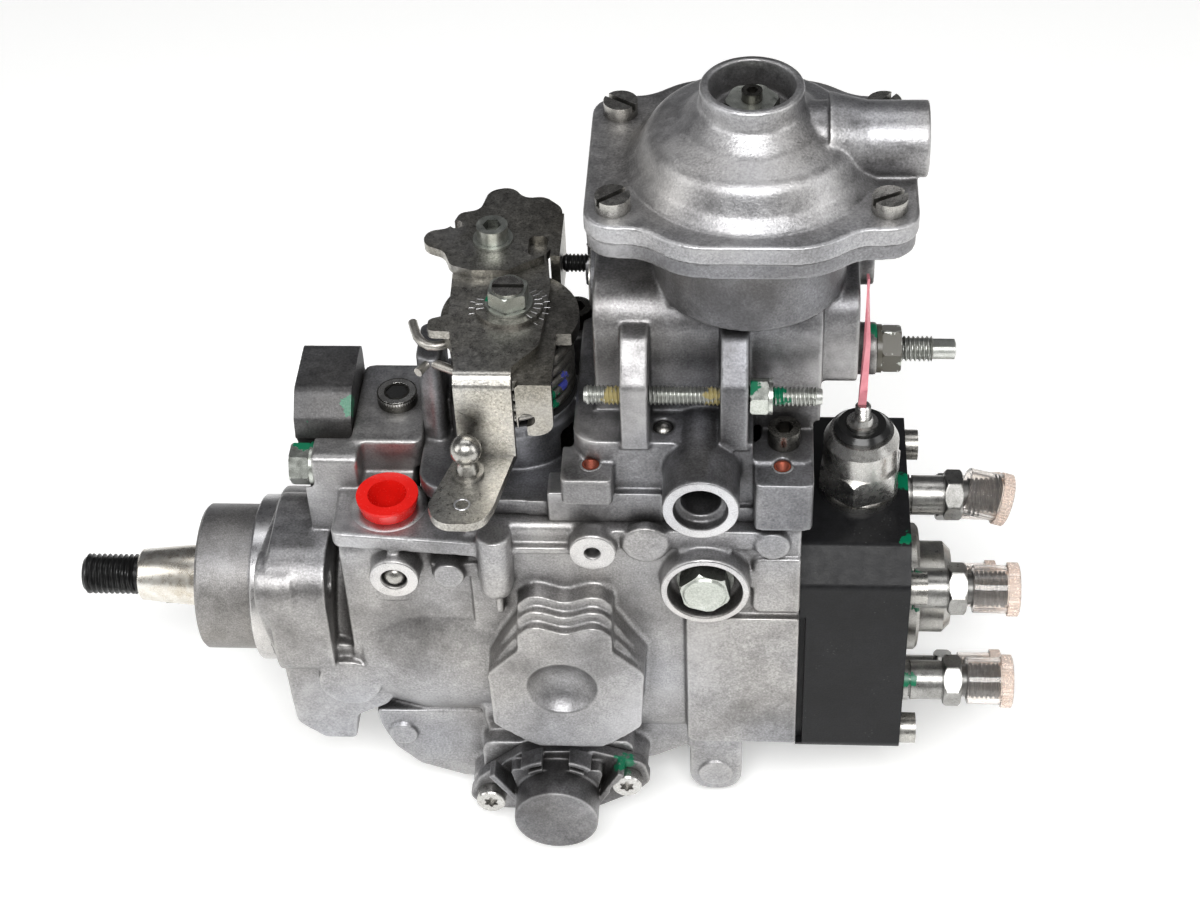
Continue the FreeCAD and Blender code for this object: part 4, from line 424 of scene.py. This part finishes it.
# shares of a hexagon's length at which it has a ring, closer at its chamfered ends
HEXAGON_STOPS = (0, 0.02, 0.05, 0.09, 0.14, 0.2, 0.5, 0.8, 0.86, 0.91, 0.95, 0.98, 1)


def hexagon(start, end, flats, turn):
    """Rings of a hexagon of a width over flats, turned by some degrees and chamfered at both ends."""
    rings = []
    corner = flats / math.sqrt(3)
    for part in HEXAGON_STOPS:
        limit = corner * (0.885 + 0.75 * min(part, 1 - part, 0.2))

        def radius_at(angle, limit=limit):
            local = (angle - math.radians(turn)) % (math.pi / 3) - math.pi / 6
            return min(flats / 2 / math.cos(local), limit)

        rings.append((start + (end - start) * part, radius_at))
    return rings


def lathe(name, origin, axis, rings, look, body="housing", closed=False, steps=96):
    """Solid of rings about an axis, in millimetres; a ring's radius may depend on the angle."""
    along, u, v = frame_of(axis)
    base = Vector(origin)
    verts = []
    faces = []
    for at, radius in rings:
        for k in range(steps):
            angle = 2 * math.pi * k / steps
            r = radius(angle) if callable(radius) else radius
            verts.append((base + along * at + u * (r * math.cos(angle)) + v * (r * math.sin(angle))) * MM)
    count = len(rings)
    for i in range(count if closed else count - 1):
        a, b = i * steps, ((i + 1) % count) * steps
        for k in range(steps):
            n = (k + 1) % steps
            faces.append((a + k, a + n, b + n, b + k))
    if not closed:
        faces.append(tuple(range(steps - 1, -1, -1)))
        faces.append(tuple((count - 1) * steps + k for k in range(steps)))
    mesh = bpy.data.meshes.new(name)
    mesh.from_pydata(verts, [], faces)
    mesh.validate()
    mesh.update()
    shade_smooth(mesh)
    mesh.set_sharp_from_angle(angle=math.radians(32))
    obj = bpy.data.objects.new(name, mesh)
    bpy.context.collection.objects.link(obj)
    mesh.materials.append(M[look])
    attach(obj, body)
    return obj


def flat_ring(name, centre, axis, inner, outer, look, high=0.08, steps=72):
    """Thin flat ring that lies on a face."""
    rings = [(0, inner), (high, inner + 0.15), (high, outer - 0.15), (0, outer)]
    return lathe(name, centre, axis, rings, look, closed=True, steps=steps)


def wire(name, points, radius, look, body="housing", resolution=3):
    """Round wire through points, in millimetres."""
    curve = bpy.data.curves.new(name, "CURVE")
    curve.dimensions = "3D"
    curve.bevel_depth = radius * MM
    curve.bevel_resolution = resolution
    curve.use_fill_caps = True
    spline = curve.splines.new("POLY")
    spline.points.add(len(points) - 1)
    for place, point in zip(spline.points, points):
        place.co = (*(Vector(point) * MM), 1.0)
    obj = bpy.data.objects.new(name, curve)
    bpy.context.collection.objects.link(obj)
    made = bpy.data.meshes.new_from_object(obj)
    bpy.data.objects.remove(obj)
    shade_smooth(made)
    obj = bpy.data.objects.new(name, made)
    bpy.context.collection.objects.link(obj)
    made.materials.append(M[look])
    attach(obj, body)
    return obj


# drive shaft: blackened thread, ground taper and journal
rings = rod(-63.8, -62.6, 5.6, 6.6) + thread(-62.5, -45.7, 7.0, 1.9, 1.0) + rod(-45.6, -43.75, 6.1)
thread_piece = lathe("shaft_thread", (0, 0, 0), X, rings, "shaft_black", "shaft", steps=120)
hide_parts("drive_shaft")
rings = (rod(-43.7, -43.2, 8.3, 8.85) + rod(-43.1, -20, 8.9, 11.0) + rod(-19.9, 39, 11)
         + rod(39, 68, 9.0) + rod(68, 100, 12.0) + rod(100, 110, 3.9))
shaft_piece = lathe("shaft_body", (0, 0, 0), X, rings, "shaft_bright", "shaft", steps=120)
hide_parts("drive_shaft")

# adjusting screws
rings = rod(116.5, 117.4, 2.2, 2.7) + thread(117.5, 186, 3.0, 1.25, 0.6) + rod(186.2, 188, 2.7, 2.3)
piece = lathe("max_speed_thread", (0, -30, 112), X, rings, "screw", steps=64)
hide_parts("max_speed_screw")
rings = rod(106.4, 107.3, 2.2, 2.7) + thread(107.4, 133, 3.0, 1.25, 0.6)
piece = lathe("idle_stop_thread", (0, 30, 115), X, rings, "black_screw", steps=64)
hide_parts("idle_stop_screw")


def flattened(angle):
    """End of the full-load screw with two flats for a spanner."""
    return min(3.2, 2.4 / max(0.2, abs(math.sin(angle + math.pi / 2))))


rings = thread(175, 222.6, 4.0, 1.4, 0.75) + [(222.8, 3.2), (223.2, flattened), (229.6, flattened), (230, 2.0)]
piece = lathe("full_load_thread", (0, 3, 103.2), X, rings, "screw", steps=72)
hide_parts("full_load_screw")


def knurl(angle):
    return 8.62 + 0.18 * math.cos(44 * angle)


# outlet holders, hexagons and threads turned as one, and their caps, one of which sits askew
HOLDER_FOOT = ([(-11.5, 3.9), (-0.1, 3.9)] + rod(0.0, 1.5, 6.7) + rod(1.55, 2.4, 5.6) + rod(2.45, 12.6, 6.5)
               + rod(12.7, 13.2, 6.3))
HOLDER_END = (rod(19.05, 20.9, 5.0) + thread(21.0, 31.2, 6.0, 1.5, 0.85)
              + [(31.3, 5.3), (32, 5.0), (31.9, 3.6), (27, 1.2)])
CAP_RINGS = [(21.0, 7.5), (21.3, 7.75), (31.8, 7.9), (32.0, 8.1), (35.7, 8.1), (35.95, 8.0), (36.0, 7.9),
             (36.0, 0.01), (35.0, 0.01), (35.0, 5.6), (34.6, 6.15), (21.0, 6.15)]
RIM_RINGS = [(32.1, 8.12), (32.15, knurl), (35.6, knurl), (35.8, 8.3), (35.8, 8.12)]
TILTED_CAP = 1
TILTED_AXIS = (0.965, -0.06, -0.25)
for index in range(6):
    angle = math.radians(135 - 60 * index)
    place = Vector((HEAD_FACE_X, OUTLET_RADIUS * math.cos(angle), OUTLET_RADIUS * math.sin(angle)))
    rings = HOLDER_FOOT + hexagon(13.2, 19.0, 15.0, 8 + 13 * index) + HOLDER_END
    piece = lathe("outlet_%d" % index, place, X, rings, "holder")
    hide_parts("delivery_valve_holders")
    lean = Vector(X)
    if index == TILTED_CAP:
        lean = Vector(TILTED_AXIS).normalized()
        place = place + Vector((27, 0, 0)) - lean * 28.3
    piece = lathe("cap_%d" % index, place, lean, CAP_RINGS, "cap", closed=True)
    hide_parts("protective_caps")
    piece = lathe("cap_rim_%d" % index, place, lean, RIM_RINGS, "cap_rim", closed=True, steps=176)
    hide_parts("protective_caps")

# return spring with its bent ends
COIL_TURNS = 5
COIL_STEPS = COIL_TURNS * 48
COIL_RADIUS = 17.8
COIL_LOW = 90.7
COIL_HIGH = 112.0
points = []
for i in range(COIL_STEPS + 1):
    part = i / COIL_STEPS
    angle = math.radians(200) + 2 * math.pi * COIL_TURNS * part
    points.append((LEVER_X + COIL_RADIUS * math.cos(angle), COIL_RADIUS * math.sin(angle),
                   COIL_LOW + (COIL_HIGH - COIL_LOW) * part))
piece = wire("return_spring_wire", points, 1.6, "spring")
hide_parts("return_spring")
HOOK = [(LEVER_X - 17.0, -5.0, 110.5), (75.5, -3.0, 111.3), (74.3, -5.6, 112), (72.0, -7.4, 112),
        (69.5, -8.2, 112), (67.0, -8.0, 112), (64.6, -6.2, 112), (63.0, -3.6, 112), (61.6, 0.5, 112),
        (60.8, 3.2, 112)]
LOW_END = [(79.0, -10.5, 103.5), (74, -10, 103.8), (69, -7.5, 104), (66.3, -6.5, 104), (63.4, -11.5, 104)]
wire("return_spring_hook", HOOK, 1.5, "spring")
wire("return_spring_end", LOW_END, 1.5, "spring")

# small parts laid on the castings and machined faces
rings = rod(-19.9, -19.0, 24.2, 25.02) + rod(-18.9, -0.05, 25.03) + [(-0.04, 24.0)]
lathe("pilot_skin", (0, 0, 0), X, rings, "turned", steps=160)
rings = [(0.0, 25.1), (-0.03, 28.2), (0.4, 28.53)] + rod(0.5, 6.9, 28.54) + [(6.95, 27)]
lathe("seat_skin", (0, 0, 0), X, rings, "machined", steps=160)
for name, centre, axis, inner, outer in (
        ("port_face", (152, -53.95, 87), NEAR, 8.4, 11.3),
        ("recess_face", (153, -47.95, 45.4), NEAR, 12.0, 13.7),
        ("ball_boss_face", (54.5, -45.95, 47), NEAR, 4.4, 7.6),
        ("plug_boss_face", (118, -45.95, 60), NEAR, 2.7, 7.0),
        ("inlet_face", (52, -27.5, 61.97), UP, 7.2, 12.4)):
    flat_ring(name, centre, axis, inner, outer, "machined")
flat_ring("spring_seat", (LEVER_X, 0, 88.95), UP, 12.3, 19.6, "rubber", high=0.5, steps=96)

# threaded lug holes
LUG_Y = -36
LUG_THREAD = ([(78.0, 2.58), (88.95, 2.58), (88.95, 2.4)]
              + [(88.9 - k * 0.25, 2.0 + 0.35 * (k % 2)) for k in range(40)] + [(78.4, 0.4), (78.0, 0.4)])
for index, x in enumerate((118, 176.5)):
    flat_ring("lug_face_%d" % index, (x, LUG_Y, 88.97), UP, 2.7, 3.5, "machined")
    lathe("lug_thread_%d" % index, (x, LUG_Y, 0), UP, LUG_THREAD, "copper", closed=True)


# screws of the two timing covers, with star recesses
def star(angle):
    return 2.15 + 0.42 * math.cos(6 * angle)


def inner_star(angle):
    return star(angle) - 0.12


def star_screw(shank, face, rim, top):
    """Rings of a star screw: end of its shank, underside, lower rim and top of its head."""
    return [(0, 2.4), (shank, 2.4), (face, 4.9), (rim, 5.05), (top - 0.6, 5.05), (top - 0.1, 4.7), (top, 4.3),
            (top, 3.0), (top - 0.2, star), (top - 2.4, inner_star), (top - 2.5, 0.01), (0.0, 0.01)]


SCREW_REACH = 24
for name, y, axis, degrees, rings in (
        ("timing_screw_%d", -44.4, NEAR, 12.0, star_screw(4.6, 4.62, 4.9, 9.0)),
        ("timing_screw_far_%d", 42.0, FAR, 0.0, star_screw(4.9, 4.95, 5.2, 9.2))):
    tilt = math.radians(degrees)
    for index, side in enumerate((-SCREW_REACH, SCREW_REACH)):
        place = (TIMING_X + side * math.cos(tilt), y, TIMING_Z + side * math.sin(tilt))
        piece = lathe(name % index, place, axis, rings, "bright", closed=True)
        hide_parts("timing_cover_screws")

# socket screw on the plateau, bright against a black disc of painted shade in its socket
SOCKET = (52, 8, 0)
rings = [(75, 6.45), (78.6, 6.5), (79.02, 6.1), (79.02, 4.2), (78.7, 3.9), (78.5, 3.8), (78.5, 0.01),
         (75, 0.01)]
lathe("plateau_screw", SOCKET, UP, rings, "bright", closed=True)
# painted shade: a black disc at the socket's floor stands for its dark depth
rings = [(78.4, 3.75), (78.55, 3.75), (78.55, 0.01), (78.4, 0.01)]
lathe("plateau_socket_painted_shade", SOCKET, UP, rings, "dark", closed=True)


# graduation lines in two rings round the lever nut
def graduation(name, angle, z, radii, thick):
    points = [(LEVER_X + r * math.cos(angle), r * math.sin(angle), z) for r in radii]
    wire(name, points, thick, "machined", "lever", 2)


for index, degrees in enumerate((-42, -28, -14, 0, 14, 28, 40, 168, 182, 196)):
    angle = math.radians(degrees)
    radii = (8.0, 10.3) if index % 3 else (7.9, 10.35)
    graduation("graduation_%d" % index, angle, 122.52, radii, 0.16)
    graduation("graduation_low_%d" % index, angle, 121.04, (10.8, 12.6), 0.15)

# blind dimple near the end of the arm
flat_ring("arm_dimple", (80.5, -55.5, 90.0), UP, 1.9, 2.6, "machined", high=0.12)
rings = [(0, 0.01), (0.13, 0.01), (0.13, 1.9), (0, 1.9)]
lathe("arm_dimple_floor", (80.5, -55.5, 89.9), UP, rings, "plate", closed=True)

# small badge with radial ridges on the near wall
BADGE = (130.5, -36.95, 33.0)
BADGE_RIDGES = 12
flat_ring("badge_rim", BADGE, NEAR, 5.6, 6.4, "cast", high=0.5)
flat_ring("badge_middle", BADGE, NEAR, 1.6, 2.3, "cast", high=0.45)
for index in range(BADGE_RIDGES):
    angle = 2 * math.pi * index / BADGE_RIDGES
    points = [(BADGE[0] + r * math.cos(angle), -37.3, BADGE[2] + r * math.sin(angle)) for r in (2.4, 5.6)]
    wire("badge_ridge_%d" % index, points, 0.28, "cast", resolution=2)

# threaded terminal of the solenoid
rings = (rod(69, 78, 2.5) + rod(78.05, 79, 5.0) + rod(79.05, 81, 3.7, 3.0) + thread(81.1, 85.4, 2.5, 0.8, 0.4)
         + [(86, 1.9)])
piece = lathe("terminal", (202, -4, 0), UP, rings, "bright", steps=64)
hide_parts("solenoid_terminal")

# stage
FLOOR_GAP = 0.0006
bpy.ops.mesh.primitive_plane_add(size=6.0, location=(0.1, 0.0, START[0][2] - FLOOR_GAP))
floor = bpy.context.object
floor.name = "floor"
mat, tree, shader = new_material("floor")
shader.inputs["Base Color"].default_value = (0.93, 0.93, 0.92, 1)
shader.inputs["Roughness"].default_value = 0.7
shader.inputs["Emission Color"].default_value = (1.0, 1.0, 0.99, 1)
shader.inputs["Emission Strength"].default_value = 0.3
floor.data.materials.append(mat)

# studio light that is darker behind the pump, and a white background for the camera
world = bpy.data.worlds.new("studio")
bpy.context.scene.world = world
world.use_nodes = True
tree = world.node_tree
tree.nodes.clear()
out = tree.nodes.new("ShaderNodeOutputWorld")
direction = node(tree, "ShaderNodeTexCoord").outputs["Generated"]
split = node(tree, "ShaderNodeSeparateXYZ", {"Vector": direction})
height = ramp(tree, split.outputs["Z"], -0.1, 1.0)
behind = ramp(tree, split.outputs["Y"], -0.3, 0.7)
sky = mix(tree, height, (0.75, 0.75, 0.74), (0.30, 0.30, 0.31))
sky = mix(tree, times(tree, behind, 0.75), sky, (0.10, 0.10, 0.11))
lit = node(tree, "ShaderNodeBackground", {"Color": sky, "Strength": 0.5})
white = node(tree, "ShaderNodeBackground", {"Color": (1, 1, 1, 1), "Strength": 1.0})
seen = node(tree, "ShaderNodeLightPath").outputs["Is Camera Ray"]
both = node(tree, "ShaderNodeMixShader", {"Fac": seen, 1: lit.outputs[0], 2: white.outputs[0]})
tree.links.new(both.outputs[0], out.inputs[0])


def area(name, place, aim, size, power):
    light = bpy.data.lights.new(name, "AREA")
    light.shape = "RECTANGLE"
    light.size, light.size_y = size
    light.energy = power
    obj = bpy.data.objects.new(name, light)
    bpy.context.collection.objects.link(obj)
    obj.location = place
    obj.rotation_euler = (Vector(aim) - Vector(place)).to_track_quat("-Z", "Y").to_euler()


area("key", (0.15, -0.75, 0.95), (0.1, 0, 0.03), (0.9, 0.5), 13)
area("left", (-0.8, -0.35, 0.55), (0.1, 0, 0.03), (0.5, 0.7), 3)
area("right", (1.0, -0.3, 0.5), (0.12, 0, 0.03), (0.4, 0.7), 2.5)
area("top", (0.1, 0.25, 1.1), (0.1, 0, 0.03), (1.2, 0.35), 3)

# camera, placed by its right, down and forward directions
camera = bpy.data.cameras.new("camera")
camera.lens = 69.0
camera.sensor_width = 36.0
camera.clip_start = 0.01
camera.clip_end = 20.0
eye = bpy.data.objects.new("camera", camera)
bpy.context.collection.objects.link(eye)
right = Vector((0.99783, 0.05528, -0.03578))
down = Vector((0.01138, -0.67985, -0.73326))
ahead = Vector((-0.06486, 0.73126, -0.67901))
eye.matrix_world = Matrix((
    (right.x, -down.x, -ahead.x, 0.16644),
    (right.y, -down.y, -ahead.y, -0.54711),
    (right.z, -down.z, -ahead.z, 0.56941),
    (0, 0, 0, 1),
))
scene = bpy.context.scene
scene.camera = eye
scene.view_settings.view_transform = "Standard"
